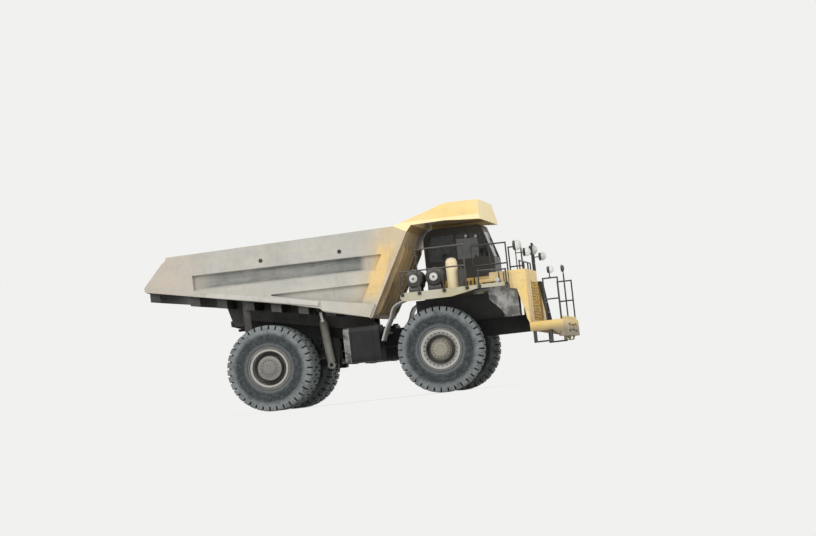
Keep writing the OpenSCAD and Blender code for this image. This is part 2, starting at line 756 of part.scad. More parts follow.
// Air cleaners that lie across the deck, with a dust cup on each end cap
module air_cleaners() {
    color(dark) for (x = cleaner_x) {
        translate([x, cleaner_y[1], cleaner_z]) rotate([90, 0, 0]) rotate_extrude() polygon([
            [0, 0], [cleaner_d / 2 - 30, 0], [cleaner_d / 2, 30], [cleaner_d / 2, 560],
            [cleaner_d / 2 + 8, 566], [cleaner_d / 2 + 8, 590], [cleaner_d / 2, 596],
            [cleaner_d / 2 - 6, 700], [cleaner_d / 2 - 50, 740], [96, 752], [90, 790], [60, 800], [0,
                800]]);
        for (y = [cleaner_y[0] + 100, cleaner_y[1] - 220])
            slice([[y - 60, deck_z], [y - 60, deck_z + 60], [y - 25, cleaner_z - cleaner_d / 2 + 30],
                [y + 25, cleaner_z - cleaner_d / 2 + 30], [y + 60, deck_z + 60], [y + 60, deck_z]],
                x - 150, x + 150);
        // Intake pipe toward the engine
        bar([x, cleaner_y[1] - 20, cleaner_z], [x, hood_y[0] - 40, cleaner_z - 120], 200);
    }
    // Dark tool case beside the canister
    color(dark) translate([fax + 715, cleaner_y[0] + 10, deck_z]) cylinder(d = 170, h = 440);
    color(dark) translate([fax + 715, cleaner_y[0] + 10, deck_z + 440 - eps]) cylinder(d = 60, h = 60);
}

canister_d = 290;
canister_h = 640;

module canister() {
    color(yellow) translate([fax + 480, cleaner_y[0] + 150, deck_z]) rotate_extrude() polygon([
        [0, 0], [canister_d / 2 + 12, 0], [canister_d / 2 + 12, 30], [canister_d / 2, 30],
        [canister_d / 2, canister_h * 0.72], [canister_d / 2 + 6, canister_h * 0.72 + 6],
        [canister_d / 2 + 6, canister_h * 0.72 + 22], [canister_d / 2, canister_h * 0.72 + 28],
        [canister_d / 2, canister_h], [canister_d / 2 - 20, canister_h + 62],
        [canister_d / 2 - 70, canister_h + 106], [0, canister_h + 118]]);
}

tread_h = 260;
ladder_t = 16;

// Ladder from the bumper to the landing, and the steps hung under the bumper
module ladders() {
    side = [walkway_y[0] + 70, walkway_y[1] - 70];
    foot_x = face_x + 150;
    head_x = face_x + 15;
    top = deck_z + 10;
    step_x = [face_x + 70, face_x + 465];
    hang_z = bumper_top_z - horn_drop;
    step_low = hang_z - 290;
    color(dark) {
        for (y = side) slab([[foot_x, platform_z], [foot_x + 70, platform_z], [head_x + 70, top],
            [face_x, top],
            [face_x, top - 60], [head_x, top - 60]], y - ladder_t / 2, y + ladder_t / 2);
        for (z = [platform_z + tread_h : tread_h : top - 100])
            let (x = line_z([platform_z, foot_x], [top, head_x], z))
            block(x + 5, x + 65, side[0] - eps, side[1] + eps, z - 15, z + 15);
        both() {
            for (x = step_x) translate([x, side_y - 60, step_low]) cylinder(d = 90, h = hang_z - step_low);
            block(step_x[0], step_x[1], side_y - 110, side_y - 10, step_low, step_low + 40);
        }
    }
}

cab_in_y = cab_out_y - cab_w;
cab_back_x = fax - 450;
cab_front_top_x = fax + 1080;
cab_front_low_x = fax + 1330;
sill_z = deck_z + 740;
door_front_x = fax + 880;
door_back_x = fax + 100;
door_low = deck_z + 90;
door_top = cab_roof_z - 190;
window_top = cab_roof_z - 200;
window_r = 60;
glass_t = 8;
pillar = 60;

// Side outline of the cab, drawn in by t all round
function cab_side(t) = concat([[cab_back_x + t, deck_z + t]],
    arc([cab_back_x + 330, cab_roof_z - 330], 330 - t, 180, 90),
    arc([cab_front_top_x - 90, cab_roof_z - 90], 90 - min(t, 80), 90, 15, 3),
    [[cab_front_low_x - t, sill_z], [cab_front_low_x - t, deck_z + t]]);

// X of the sloping windscreen at a height
function screen_x(z) = cab_front_top_x + (cab_front_low_x - cab_front_top_x) * (cab_roof_z - z)
    / (cab_roof_z - sill_z);

// A side window: its rear and front edges at the sill, drawn in by t
module side_window(x0, x1, y0, y1, t = 0) {
    lean = min(screen_x(window_top) - screen_x(sill_z), 0) * (x1 > fax + 700 ? 1 : 0);
    slab(concat([[x0 + t, sill_z + 40 + t], [x0 + t, window_top - window_r - t]],
        arc([x0 + window_r + t, window_top - window_r - t], window_r, 180, 90, 3),
        [[x1 + lean - t, window_top - t], [x1 - t, sill_z + 40 + t]]), y0, y1);
}

window_xs = [[cab_back_x + 120, fax + 330], [fax + 330 + pillar, screen_x(sill_z) - 130]];

module cab_shell() {
    color(yellow) difference() {
        slab(cab_side(0), cab_in_y, cab_out_y);
        slab(cab_side(cab_wall), cab_in_y + cab_wall, cab_out_y - cab_wall);
        // Rear window and windscreen
        block(cab_back_x - 50, cab_back_x + 300, cab_in_y + 130, cab_out_y - 130, sill_z + 60,
            window_top - 60);
        block(fax + 800, cab_front_low_x + 60, cab_in_y + 100, cab_out_y - 100, sill_z + 30,
            window_top + 20);
        // Windows of the right side
        for (w = window_xs) side_window(w[0], w[1], cab_in_y - 50, cab_in_y + cab_wall + 50);
        // Doorway and the small window behind it
        block(door_back_x, door_front_x, cab_out_y - cab_wall - 50, cab_out_y + 50, door_low, door_top);
        side_window(cab_back_x + 120, door_back_x - 70, cab_out_y - cab_wall - 50, cab_out_y + 50);
    }
    color(yellow) {
        cab_hinges();
        // Drip rail along the right side
        block(cab_back_x + 330, cab_front_top_x - 90, cab_in_y - 25, cab_in_y + eps, cab_roof_z - 60,
            cab_roof_z - 35);
    }
}

// Panes stand in the middle of their openings
module cab_glass() {
    y_right = cab_in_y + (cab_wall - glass_t) / 2;
    y_left = cab_out_y - (cab_wall + glass_t) / 2;
    screen_low = sill_z + 30 + fit;
    color(glass) {
        block(cab_back_x + 25, cab_back_x + 25 + glass_t, cab_in_y + 130 + fit, cab_out_y - 130 - fit,
            sill_z + 60 + fit, window_top - 60 - fit);
        slab([[screen_x(screen_low) - 40, screen_low], [screen_x(window_top) - 40, window_top + 20 - fit],
            [screen_x(window_top) - 40 + glass_t, window_top + 20 - fit],
                [screen_x(screen_low) - 40 + glass_t, screen_low]],
            cab_in_y + 100 + fit, cab_out_y - 100 - fit);
        for (w = window_xs) side_window(w[0], w[1], y_right, y_right + glass_t, fit);
        side_window(cab_back_x + 120, door_back_x - 70, y_left, y_left + glass_t, fit);
    }
}

module cab_interior() {
    mid = (cab_in_y + cab_out_y) / 2 + 80;
    x = fax + 250;
    floor_z = deck_z + cab_wall;
    color(dark) {
        block(x - 120, x + 120, mid - 120, mid + 120, floor_z, floor_z + 330);
        block(x - 250, x + 260, mid - 250, mid + 250, floor_z + 330, floor_z + 450);
        slab([[x - 250, floor_z + 450], [x - 370, floor_z + 1080], [x - 270, floor_z + 1080],
            [x - 130, floor_z + 450]], mid - 230, mid + 230);
        // Dashboard, with the steering column and wheel in front of the seat
        bar([cab_front_low_x - 300, mid, sill_z - 60], [cab_front_low_x - 480, mid, sill_z + 60], 60);
        translate([cab_front_low_x - 480, mid, sill_z + 60]) rotate([0, -56, 0]) rotate_extrude($fn = 36)
            translate([210, 0]) circle(d = 34, $fn = 16);
        translate([cab_front_low_x - 480, mid, sill_z + 60]) rotate([0, -56, 0]) translate([-205, -20, -8])
            cube([410, 40, 16]);
        slab([[cab_front_low_x - cab_wall, floor_z], [cab_front_low_x - cab_wall, sill_z - 40],
            [cab_front_low_x - 330, sill_z - 60], [cab_front_low_x - 330, sill_z - 180],
            [cab_front_low_x - 200, floor_z + 200], [cab_front_low_x - 200, floor_z]],
            cab_in_y + cab_wall, cab_out_y - cab_wall);
    }
}

hinge_y = cab_out_y + 20;
hinge_zs = [deck_z + 300, cab_roof_z - 400];
hinge_pin_d = 16;

module cab_hinges() {
    for (z = hinge_zs) {
        block(door_front_x, door_front_x + 70, cab_out_y - eps, cab_out_y + 6, z - 30, z);
        translate([door_front_x, hinge_y, z - 30]) cylinder(d = 34, h = 30);
        block(door_front_x, door_front_x + 10, cab_out_y - eps, hinge_y, z - 30, z);
        translate([door_front_x, hinge_y, z - eps]) cylinder(d = hinge_pin_d, h = 60);
    }
}

module door_hinges() {
    for (z = hinge_zs) difference() {
        union() {
            translate([door_front_x, hinge_y, z + seat]) cylinder(d = 34, h = 55);
            block(door_front_x - 80, door_front_x, cab_out_y, hinge_y, z + seat, z + 55);
            block(door_front_x - 80, door_front_x - 30, cab_out_y - eps, cab_out_y + 8, z + seat, z + 55);
        }
        translate([door_front_x, hinge_y, z - 10]) cylinder(d = hinge_pin_d + 2 * fit, h = 80);
    }
}

module cab_door() {
    c = gap;
    low = door_low + c;
    high = door_top - c;
    y0 = cab_out_y - cab_wall + 6;
    color(yellow) {
        difference() {
            block(door_back_x + c, door_front_x - c, y0, cab_out_y, low, high);
            block(door_back_x + 90, door_front_x - 90, y0 - 10, cab_out_y + 10, sill_z + 20, high - 60);
        }
        door_hinges();
        // Grab bar beside the latch
        bar([door_back_x + 60, cab_out_y + 40, sill_z - 250], [door_back_x + 60, cab_out_y + 40,
            sill_z + 150], 24);
        for (z = [sill_z - 230, sill_z + 130]) bar_y(door_back_x + 60, z, 20, cab_out_y - eps,
            cab_out_y + 40);
    }
}

lamp_d = 190;

// Round lamps in the bumper's recesses, and work lamps under the canopy's edge of the cab
module headlamps() {
    z = (bumper_low_z + bumper_top_z) / 2;
    color(pale) {
        both() for (y = [lamp_y[0] + 140, lamp_y[1] - 140])
            translate([nose_x - 120, y, z]) rotate([0, 90, 0]) rotate_extrude() polygon([
                [0, 0], [60, 0], [lamp_d / 2 - 10, 50], [lamp_d / 2, 60], [lamp_d / 2, 84],
                [lamp_d / 2 - 12, 92], [50, 98], [0, 100]]);
        // Small side lamp on the deck box
        translate([fax + 1615, box_y[0], deck_z + 65]) rotate([90, 0, 0]) cylinder(d = 110, h = 45);
    }
}

// A convex mirror: a shallow bowl whose back faces the arm
module mirror_bowl(p, d, turn) {
    translate(p) rotate([0, 0, turn]) rotate([0, 90, 0]) rotate_extrude() polygon([
        [0, 0], [d * 0.2, 4], [d * 0.4, 24], [d / 2, 62], [d / 2, 74], [0, 88]]);
}

arm_d = 26;
mirror_d = [250, 216, 176, 190];

// Convex mirrors on arms at the front box's corners and on the platform's masts
module mirrors() {
    arm_x = face_x - 190;
    arm_y = side_y - 25;
    arm_top = box_top + 600;
    reach_z = box_top + 405;
    // The left one stands on the landing beside the ladder
    color(dark) for (side = [[-1, box_top], [1, deck_z]]) {
        y = side[0] * arm_y;
        bar([arm_x, y, side[1]], [arm_x, y, arm_top], arm_d);
        bar([arm_x, y, reach_z], [face_x + 40, y, reach_z], arm_d);
        mirror_bowl([arm_x + 40, y, arm_top], mirror_d[0], 180);
        mirror_bowl([face_x + 80, y, reach_z], mirror_d[1], 180);
    }
    color(pale) {
        bar([mirror_x, -mast_y, mast_top + 30], [mirror_x, -mast_y, mast_top + 200], arm_d);
        mirror_bowl([mirror_x + 40, -mast_y, mast_top + 205], mirror_d[2], 180);
        bar([mast_x[1], mid_mast_y, mid_mast_top], [mast_x[1], mid_mast_y, mid_mast_top + 145], arm_d);
        mirror_bowl([mast_x[1] + 40, mid_mast_y, mid_mast_top + 145], mirror_d[3], 180);
    }
}

// Box hung under the deck behind the bumper
module battery_box() {
    y0 = 330 - deck_w / 2;
    length = 500;
    top = deck_z - deck_t;
    color(grey) slab([[fax + 1340, top], [fax + 1340, 2160], [fax + 1610, 1890], [fax + 1720, 1700],
        [fax + 2060, 1700], [fax + 2060, top]], y0, y0 + length);
}

tank_x = [fax - 2400, fax - 1500];
tank_y = 1060;
tank_z = 960;
tank_size = 900;
tank_r = 130;

// Rounded section of a side tank, grown by t all round
module tank_section(t, x0, x1) {
    for (s = [-1, 1]) slice([for (c = [[0, 0, 180], [1, 0, 270], [1, 1, 0], [0, 1, 90]], a = [0 : 18 : 90])
        let (across = c[0] > 0 ? tank_size - tank_r : tank_r, up = c[1] > 0 ? tank_size - tank_r : tank_r)
        [s * (tank_y + across + (tank_r + t) * cos(c[2] + a)),
            tank_z + up + (tank_r + t) * sin(c[2] + a)]], x0, x1);
}

// Fuel tank on the right and oil tank on the left, strapped to brackets on the frame
module side_tanks() {
    strap_w = 70;
    strap_x = [tank_x[0] + 150, tank_x[1] - 200];
    color(olive) {
        tank_section(0, tank_x[0], tank_x[1]);
        for (x = strap_x) tank_section(12, x - strap_w / 2, x + strap_w / 2);
        both() {
            for (x = strap_x) block(x - 50, x + 50, rail_out, tank_y + 40, rail_low(x) + 20,
                rail_low(x) + 240);
            translate([tank_x[1] - 90, tank_y + tank_size - 240,
                tank_z + tank_size - eps]) cylinder(d = 150, h = 50);
        }
    }
}

// A line of points moved sideways by t, to its right as it runs
function beside(points, t) = [for (i = [0 : len(points) - 1])
    let (run = points[min(i + 1, len(points) - 1)] - points[max(i - 1, 0)]) points[i] + t * [run.y,
        -run.x] / norm(run)];

guard_t = 35;
guard_y = [1400, 2050];

// Curved guards behind the front tyres, hung from the deck's rear beam and stayed to the frame
module mudguards() {
    beam_low = deck_z - deck_t - 70;
    top = [for (q = [[-570, beam_low], [-670, beam_low], [-826, 2385], [-960, 2335], [-1068, 2262],
        [-1132, 2150],
        [-1174, 2009], [-1333, 1724], [-1440, 1450]]) [fax + q[0], q[1]]];
    low = beside(top, -guard_t);
    color(grey) both() {
        slab(concat(top, [for (i = [len(low) - 1 : -1 : 0]) low[i]]), guard_y[0], guard_y[1]);
        bar_y(fax - 1365, 1640, 60, rail_out, guard_y[0] + 40);
    }
}

// Dump bed

side_out = bed_w / 2;
side_face = side_out - bed_rib;
side_in = side_face - bed_wall;
head_top = [fax - 530, 4070];
head_low = [fax - 1620, bed_low_z];
head_t = 90;
tail_top_x = tail_x + 630;
step_x = fax - 2850;

// Underside of the floor plate
function floor_z(x) = line_z([fax - 1700, bed_low_z + 250], [tail_x, tail_z - 20], x);

// Lower edge of the bed's side
low_edge = [[head_low.x, bed_low_z], [fax - 2800, bed_low_z + 280], [fax - 2910, bed_low_z + 380],
    [fax - 3660, bed_low_z + 560]];

// Edge of the front post, some way behind the sloping headboard
function post_x(z, back) = head_top.x + (head_low.x - head_top.x) * (head_top.y - z)
    / (head_top.y - head_low.y) - back;

post_w = 425;
panel_back = fax - 6040;
upper_panel = [3250, 3590];
lower_panel_z = 2900;
lower_panel_back = fax - 4090;
sill_low = [fax - 2905, 2605];
rib_bevel = 60;
sill_proud = 55;
rail_hole_d = 90;
rail_holes = [fax - 4265, fax - 2260];
rail_hole_z = 3768;

// A rail along a sloping line, thin at its top and proud at its foot
module sloping_rail(p, q, h) {
    translate([p.x, side_out - eps, p.y]) rotate([0, atan2(p.y - q.y, q.x - p.x), 0])
        rotate([90, 0, 90]) linear_extrude(norm(q - p))
            polygon([[0, 0], [eps, 0], [sill_proud + eps, -h + 20], [sill_proud + eps, -h], [0, -h]]);
}

module bed_side(side) {
    color(cream) on_side(side) {
        difference() {
            slab(concat([head_top, [fax - 860, rail_front_z], [tail_top_x, rail_rear_z],
                [tail_top_x - 40, rail_rear_z - 90], [tail_top_x - 130, rail_rear_z - 150],
                [tail_x, tail_z + 110], [tail_x, tail_z]], [for (i = [3 : -1 : 0]) low_edge[i]]),
                side_in, side_out);
            // Two sunk panels between the ribs
            slab([[panel_back, upper_panel[1]], [panel_back, upper_panel[0]],
                [post_x(upper_panel[0], post_w), upper_panel[0]],
                [post_x(upper_panel[1], post_w), upper_panel[1]]], side_face, side_out + eps);
            slab([[lower_panel_back, lower_panel_z], [lower_panel_back, lower_panel_z - 35], sill_low,
                [post_x(bed_low_z + 355, post_w), bed_low_z + 355],
                [post_x(lower_panel_z, post_w), lower_panel_z]], side_face, side_out + eps);
            // Bevel along the top of the middle rib
            slice([[side_face, upper_panel[0]], [side_out + eps, upper_panel[0] - rib_bevel],
                [side_out + eps, upper_panel[0] + eps], [side_face, upper_panel[0] + eps]],
                panel_back, post_x(upper_panel[0], post_w));
            for (x = rail_holes) bar_y(x, rail_hole_z, rail_hole_d, side_out - 60, side_out + eps);
        }
        // Sills under the panels
        sloping_rail([fax - 5735, 3127], sill_low, 120);
        slab([[post_x(bed_low_z + 330, 60), bed_low_z + 330], sill_low + [60, 0], sill_low + [60, -245],
            [post_x(bed_low_z + 20, 60), bed_low_z + 20]], side_out - eps, side_out + sill_proud);
    }
}

rib_w = 250;
rib_h = 250;
rib_pitch = 680;
first_rib_x = fax - 2670;
rib_count = 6;
tail_rib_x = tail_x + 210;

// A cross rib under the floor plate
module floor_rib(x, w, h) {
    slab([[x - w / 2, floor_z(x - w / 2) + eps], [x + w / 2, floor_z(x + w / 2) + eps],
        [x + w / 2, floor_z(x + w / 2) - h], [x - w / 2, floor_z(x - w / 2) - h]], -side_in, side_in);
}

module bed_floor() {
    front = fax - 1700;
    floor_end = tail_x + 10;
    w = side_in;
    ear = rail_out + gap;
    color(dark) {
        slab([[front, floor_z(front)], [front, floor_z(front) + bed_floor_t],
            [floor_end, floor_z(floor_end) + bed_floor_t], [floor_end, floor_z(floor_end)]], -w, w);
        difference() {
            union() {
                for (i = [0 : rib_count - 1]) floor_rib(first_rib_x - i * rib_pitch, rib_w, rib_h);
                floor_rib(tail_rib_x, rib_w, rib_h - 30);
            }
            both() block(fax - hoist_top_back - 560, fax - hoist_top_back + 420,
                hoist_y - 130, hoist_y + 130, hoist_top_z - 500, hoist_top_z + 400);
            block(pivot_x, fax, -rail_out - gap, rail_out + gap, 1500, floor_z(tail_x));
        }
        // Bolsters over the frame rails
        both() slab([[kick_x - 60, floor_z(kick_x - 60) + eps], [kick_x - 60, rail_top(kick_x - 60) + gap],
            [pivot_x + 220, rail_top(pivot_x + 220) + gap], [pivot_x + 220, floor_z(pivot_x + 220) + eps]],
            rail_in + 20, rail_out - 20);
        // Tipping ears
        both() difference() {
            slab([[pivot_x + 330, floor_z(pivot_x + 330) + eps], [pivot_x - 330,
                floor_z(pivot_x - 330) + eps],
                [pivot_x - 120, pivot_z - 120], [pivot_x + 120, pivot_z - 120]], ear, ear + 60);
        }
        both() bar_y(pivot_x, pivot_z, pivot_d, rail_in - 40, ear + 90);
        // Hoist brackets
        both() for (s = [-1, 1]) {
            y = hoist_y + s * 80;
            x = fax - hoist_top_back;
            slab([[x + 160, floor_z(x + 160) + eps], [x - 160, floor_z(x - 160) + eps],
                [x - 80, hoist_top_z - 70], [x + 80, hoist_top_z - 70]], y - 15, y + 15);
        }
        // Rock ejectors between the twin tyres
        both() slab([[rax - 450, floor_z(rax - 450) + eps], [rax - 450, 1900], [rax - 630, 1900],
            [rax - 630, floor_z(rax - 630) + eps]], rear_track / 2 - 20, rear_track / 2 + 20);
    }
}

stiffener_w = 80;
stiffener_h = 85;
stiffener_y = [300, 900, 1500];

// A point on the headboard's front face, part of the way from its foot to its top, t in front of it
function on_headboard(part, t) = let (up = head_top - head_low)
    head_low + part * up + t * [up.y, -up.x] / norm(up);

module bed_headboard() {
    color(tan_shade) {
        slab([head_top, [head_top.x - head_t * 1.15, head_top.y], [head_low.x - head_t * 1.15, bed_low_z],
            [head_low.x, bed_low_z]], -side_in, side_in);
        both() for (y = stiffener_y)
            slab([on_headboard(0.04, -eps), on_headboard(0.04, stiffener_h * 0.5), on_headboard(0.1,
                stiffener_h),
                on_headboard(0.8, stiffener_h), on_headboard(0.86, -eps)], y - stiffener_w / 2,
                    y + stiffener_w / 2);
    }
}

canopy_t = 40;
canopy_strip = 70;
canopy_top_y = 1450;
canopy_front = [[fax + 1270, canopy_top_z - 5], [fax + 1330, rail_front_z - 60]];

// Top line of the canopy from the bed's rail forward
canopy_line = [[fax - 860, rail_front_z + eps], [fax - 340, rail_front_z + 180], [fax - 75,
    canopy_top_z - 190],
    [fax + 320, canopy_top_z - 30], [fax + 500, canopy_top_z], canopy_front[0]];

// Hipped form of the canopy, drawn in by t; flat top, sloping sides and a leaning front
module canopy_form(t, low) {
    intersection() {
        slab(concat([for (q = canopy_line) if (t == 0 || q.x > fax - 400) q - [0, t]],
            [[canopy_front[1].x - t, canopy_front[1].y - (t > 0 ? 200 : 0)]], low), -side_out, side_out);
        slice([for (q = [[-1, 0, 3800], [-1, 0, rail_front_z + canopy_strip], [-1, 1, canopy_top_z],
            [-1, 1, canopy_top_z + 300],
            [1, 1, canopy_top_z + 300], [1, 1, canopy_top_z], [1, 0, rail_front_z + canopy_strip], [1,
                0, 3800]])
            [q[0] * ((q[1] > 0 ? canopy_top_y : side_out) - t), q[2]]], fax - 1000, fax + 1400);
    }
}

module canopy() {
    rib_x = [fax + 120, fax + 720];
    color(yellow) {
        difference() {
            canopy_form(0, [[fax + 830, rail_front_z - 30], [fax + 460, rail_front_z], [fax - 400,
                rail_front_z - 20],
                head_top + [eps, 0]]);
            canopy_form(canopy_t, [[fax - 390, 3900], [fax - 390, rail_front_z + 110]]);
        }
        // Cross ribs under the roof
        for (x = rib_x) slab([[x, lookup(x, canopy_line) - canopy_t + eps], [x + 60, lookup(x + 60,
            canopy_line) - canopy_t + eps],
            [x + 60, canopy_top_z - 240], [x, canopy_top_z - 240]], -canopy_top_y, canopy_top_y);
    }
}

// Hoists

hoist_foot = [fax - hoist_foot_back, hoist_y, hoist_foot_z];
hoist_top = [fax - hoist_top_back, hoist_y, hoist_top_z];
hoist_len = norm(hoist_top - hoist_foot);
hoist_lean = atan2(hoist_top.x - hoist_foot.x, hoist_top.z - hoist_foot.z);
barrel_len = hoist_len - 330;

// Places a cylinder's piece so that Z runs from its foot pin to its top pin
module along_hoist(side) {
    translate([hoist_foot.x, side * hoist_y, hoist_foot.z]) rotate([0, hoist_lean, 0]) children();
}

module hoist_barrel(side) {
    color(grey) along_hoist(side) difference() {
        union() {
            translate([0, 0, 60]) cylinder(d = barrel_d, h = barrel_len - 60);
            translate([0, barrel_d / 2, 0]) rotate([90, 0, 0]) cylinder(d = 190, h = barrel_d);
        }
        translate([0, 0, 130]) cylinder(d = stage_d + 2 * fit, h = hoist_len);
        translate([0, barrel_d, 0]) rotate([90, 0, 0]) cylinder(d = 100 + 2 * fit, h = 2 * barrel_d);
    }
}

module hoist_stage(side) {
    color(grey) along_hoist(side) difference() {
        translate([0, 0, 140]) cylinder(d = stage_d, h = barrel_len - 140 + 60);
        translate([0, 0, 170]) cylinder(d = rod_d + 2 * fit, h = hoist_len);
    }
}

module hoist_rod(side) {
    color(pale) along_hoist(side) difference() {
        union() {
            translate([0, 0, 180]) cylinder(d = rod_d, h = hoist_len - 180 - 60);
            translate([0, 50, hoist_len]) rotate([90, 0, 0]) cylinder(d = 160, h = 100);
        }
        translate([0, 80, hoist_len]) rotate([90, 0, 0]) cylinder(d = 80, h = 160);
    }
}

main_frame();
front_bumper();
radiator_grille();
front_panels();
engine_hood();
engine_block();
gearbox();
deck();
handrails();
deck_boxes();
air_cleaners();
canister();
ladders();
cab_shell();
cab_glass();
cab_interior();
headlamps();
mirrors();
battery_box();
side_tanks();
suspension_struts();
rear_axle();
mudguards();
cab_door();
bed_floor();
bed_side(1);  // bed_side_left
bed_side(-1);  // bed_side_right
bed_headboard();
canopy();
hoist_barrel(1);  // hoist_barrel_left
hoist_barrel(-1);  // hoist_barrel_right
hoist_stage(1);  // hoist_stage_left
hoist_stage(-1);  // hoist_stage_right
hoist_rod(1);  // hoist_rod_left
hoist_rod(-1);  // hoist_rod_right
knuckle(1);  // knuckle_left
knuckle(-1);  // knuckle_right
tie_rod();
front_tyre(1);  // front_tyre_left
front_tyre(-1);  // front_tyre_right
front_rim(1);  // front_rim_left
front_rim(-1);  // front_rim_right
rear_tyres(1);  // rear_tyres_left
rear_tyres(-1);  // rear_tyres_right
rear_rims(1);  // rear_rims_left
rear_rims(-1);  // rear_rims_right
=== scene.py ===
"""Dresses the mining truck: faded paint, dust, rubber, glass and small fittings, in a plain pale studio."""
import json
import math

import bmesh
import bpy
from mathutils import Matrix, Vector


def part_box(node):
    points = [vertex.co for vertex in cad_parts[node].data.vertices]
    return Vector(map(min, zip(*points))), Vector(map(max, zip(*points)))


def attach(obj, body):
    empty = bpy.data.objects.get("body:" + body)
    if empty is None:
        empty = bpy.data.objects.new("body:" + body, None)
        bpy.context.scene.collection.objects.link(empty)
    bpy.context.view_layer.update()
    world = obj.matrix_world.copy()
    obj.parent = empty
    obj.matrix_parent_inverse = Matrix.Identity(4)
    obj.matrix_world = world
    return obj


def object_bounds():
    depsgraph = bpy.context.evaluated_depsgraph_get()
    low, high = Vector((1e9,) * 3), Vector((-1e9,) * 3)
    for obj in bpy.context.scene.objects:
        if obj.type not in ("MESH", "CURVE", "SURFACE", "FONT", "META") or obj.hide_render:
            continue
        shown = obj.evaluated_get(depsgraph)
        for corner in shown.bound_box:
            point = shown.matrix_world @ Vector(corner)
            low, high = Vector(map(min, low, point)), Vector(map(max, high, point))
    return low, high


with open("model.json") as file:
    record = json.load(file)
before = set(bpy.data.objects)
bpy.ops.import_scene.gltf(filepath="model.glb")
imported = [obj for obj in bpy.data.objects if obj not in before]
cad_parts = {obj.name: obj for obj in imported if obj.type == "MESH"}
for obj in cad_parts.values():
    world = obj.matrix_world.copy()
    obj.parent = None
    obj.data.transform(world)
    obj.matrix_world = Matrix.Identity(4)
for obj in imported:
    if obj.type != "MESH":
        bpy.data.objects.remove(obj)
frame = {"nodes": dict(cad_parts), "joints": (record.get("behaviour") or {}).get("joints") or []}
cad_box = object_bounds()
NODES = frame["nodes"]
JOINTS = {joint["name"]: joint for joint in frame["joints"]}
SIDES = {"left": 1, "right": -1}
FORWARD = Vector((1, 0, 0))
LEFT = Vector((0, 1, 0))


def joint_at(name):
    """The place of a joint, in metres."""
    return Vector(JOINTS[name]["pos_m"])


# Places that the fittings and the dirt are measured from, in metres
FRONT_AXLE = joint_at("front_wheel_right_spin")
REAR_AXLE = joint_at("rear_wheels_right_spin")
BED_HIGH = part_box("bed_side_right")[1]
BED_HOLES = (Vector((-2.2, 0, 3.768)), Vector((-0.195, 0, 3.768)))
POST_LEAN = 0.43                   # the bed's front post leans this far ahead for each metre up
DECK_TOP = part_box("deck")[1].z
GRILLE_LOW, GRILLE_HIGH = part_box("radiator_grille")
BUMPER_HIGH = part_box("front_bumper")[1]
TYRE_LOW, TYRE_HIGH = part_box("front_tyre_right")
TYRE_RADIUS = (TYRE_HIGH.z - TYRE_LOW.z) / 2
TYRE_WIDTH = TYRE_HIGH.y - TYRE_LOW.y


def ahead(distance):
    """X of a place so many metres ahead of the front axle."""
    return FRONT_AXLE.x + distance


# Shader maths

class Value:
    """A socket that holds one number, so that a mask is written as sums and products."""

    def __init__(self, graph, socket):
        self.graph = graph
        self.socket = socket

    def maths(self, operation, *others):
        """A Math node that takes this value first."""
        values = dict(enumerate((self, *others)))
        node = self.graph.node("ShaderNodeMath", {"operation": operation}, values)
        return Value(self.graph, node.outputs[0])

    def __add__(self, other):
        return self.maths("ADD", other)

    def __sub__(self, other):
        return self.maths("SUBTRACT", other)

    def __rsub__(self, other):
        return (self * -1).maths("ADD", other)

    def __mul__(self, other):
        return self.maths("MULTIPLY", other)

    def __abs__(self):
        return self.maths("ABSOLUTE")

    __radd__ = __add__
    __rmul__ = __mul__

    def between(self, low, high):
        """0 at low and before it, 1 at high and past it, smooth in between; low may be the larger."""
        values = {"Value": self, "From Min": min(low, high), "From Max": max(low, high)}
        node = self.graph.node("ShaderNodeMapRange", {"interpolation_type": "SMOOTHSTEP"}, values)
        rise = Value(self.graph, node.outputs[0])
        return rise if low < high else 1 - rise

    def clamped(self):
        """The value held from 0 to 1."""
        return self.maths("MAXIMUM", 0).maths("MINIMUM", 1)


class Graph:
    """A tree of shader nodes, of a material or of the world."""

    def __init__(self, tree):
        self.tree = tree

    def node(self, kind, settings, values):
        """Adds a node: its settings first, then the values or links of its sockets."""
        node = self.tree.nodes.new(kind)
        for key, setting in settings.items():
            setattr(node, key, setting)
        for key, value in values.items():
            self.feed(node.inputs[key], value)
        return node

    def feed(self, target, value):
        """Links a socket, or sets it where the value is plain."""
        source = value.socket if isinstance(value, Value) else value
        if isinstance(source, bpy.types.NodeSocket):
            self.tree.links.new(source, target)
        else:
            target.default_value = source

    def mix(self, mask, under, over):
        """The colour under, covered by over where mask is 1."""
        values = {0: mask, 6: under, 7: over}
        return self.node("ShaderNodeMix", {"data_type": "RGBA", "clamp_factor": True}, values).outputs[2]

    def seen(self):
        """1 for what the camera, metal or glass sees, and 0 for what only lights the truck."""
        rays = self.node("ShaderNodeLightPath", {}, {}).outputs
        mask = Value(self, rays["Is Camera Ray"])
        for ray in ("Is Glossy Ray", "Is Transmission Ray"):
            mask = mask.maths("MAXIMUM", Value(self, rays[ray]))
        return mask


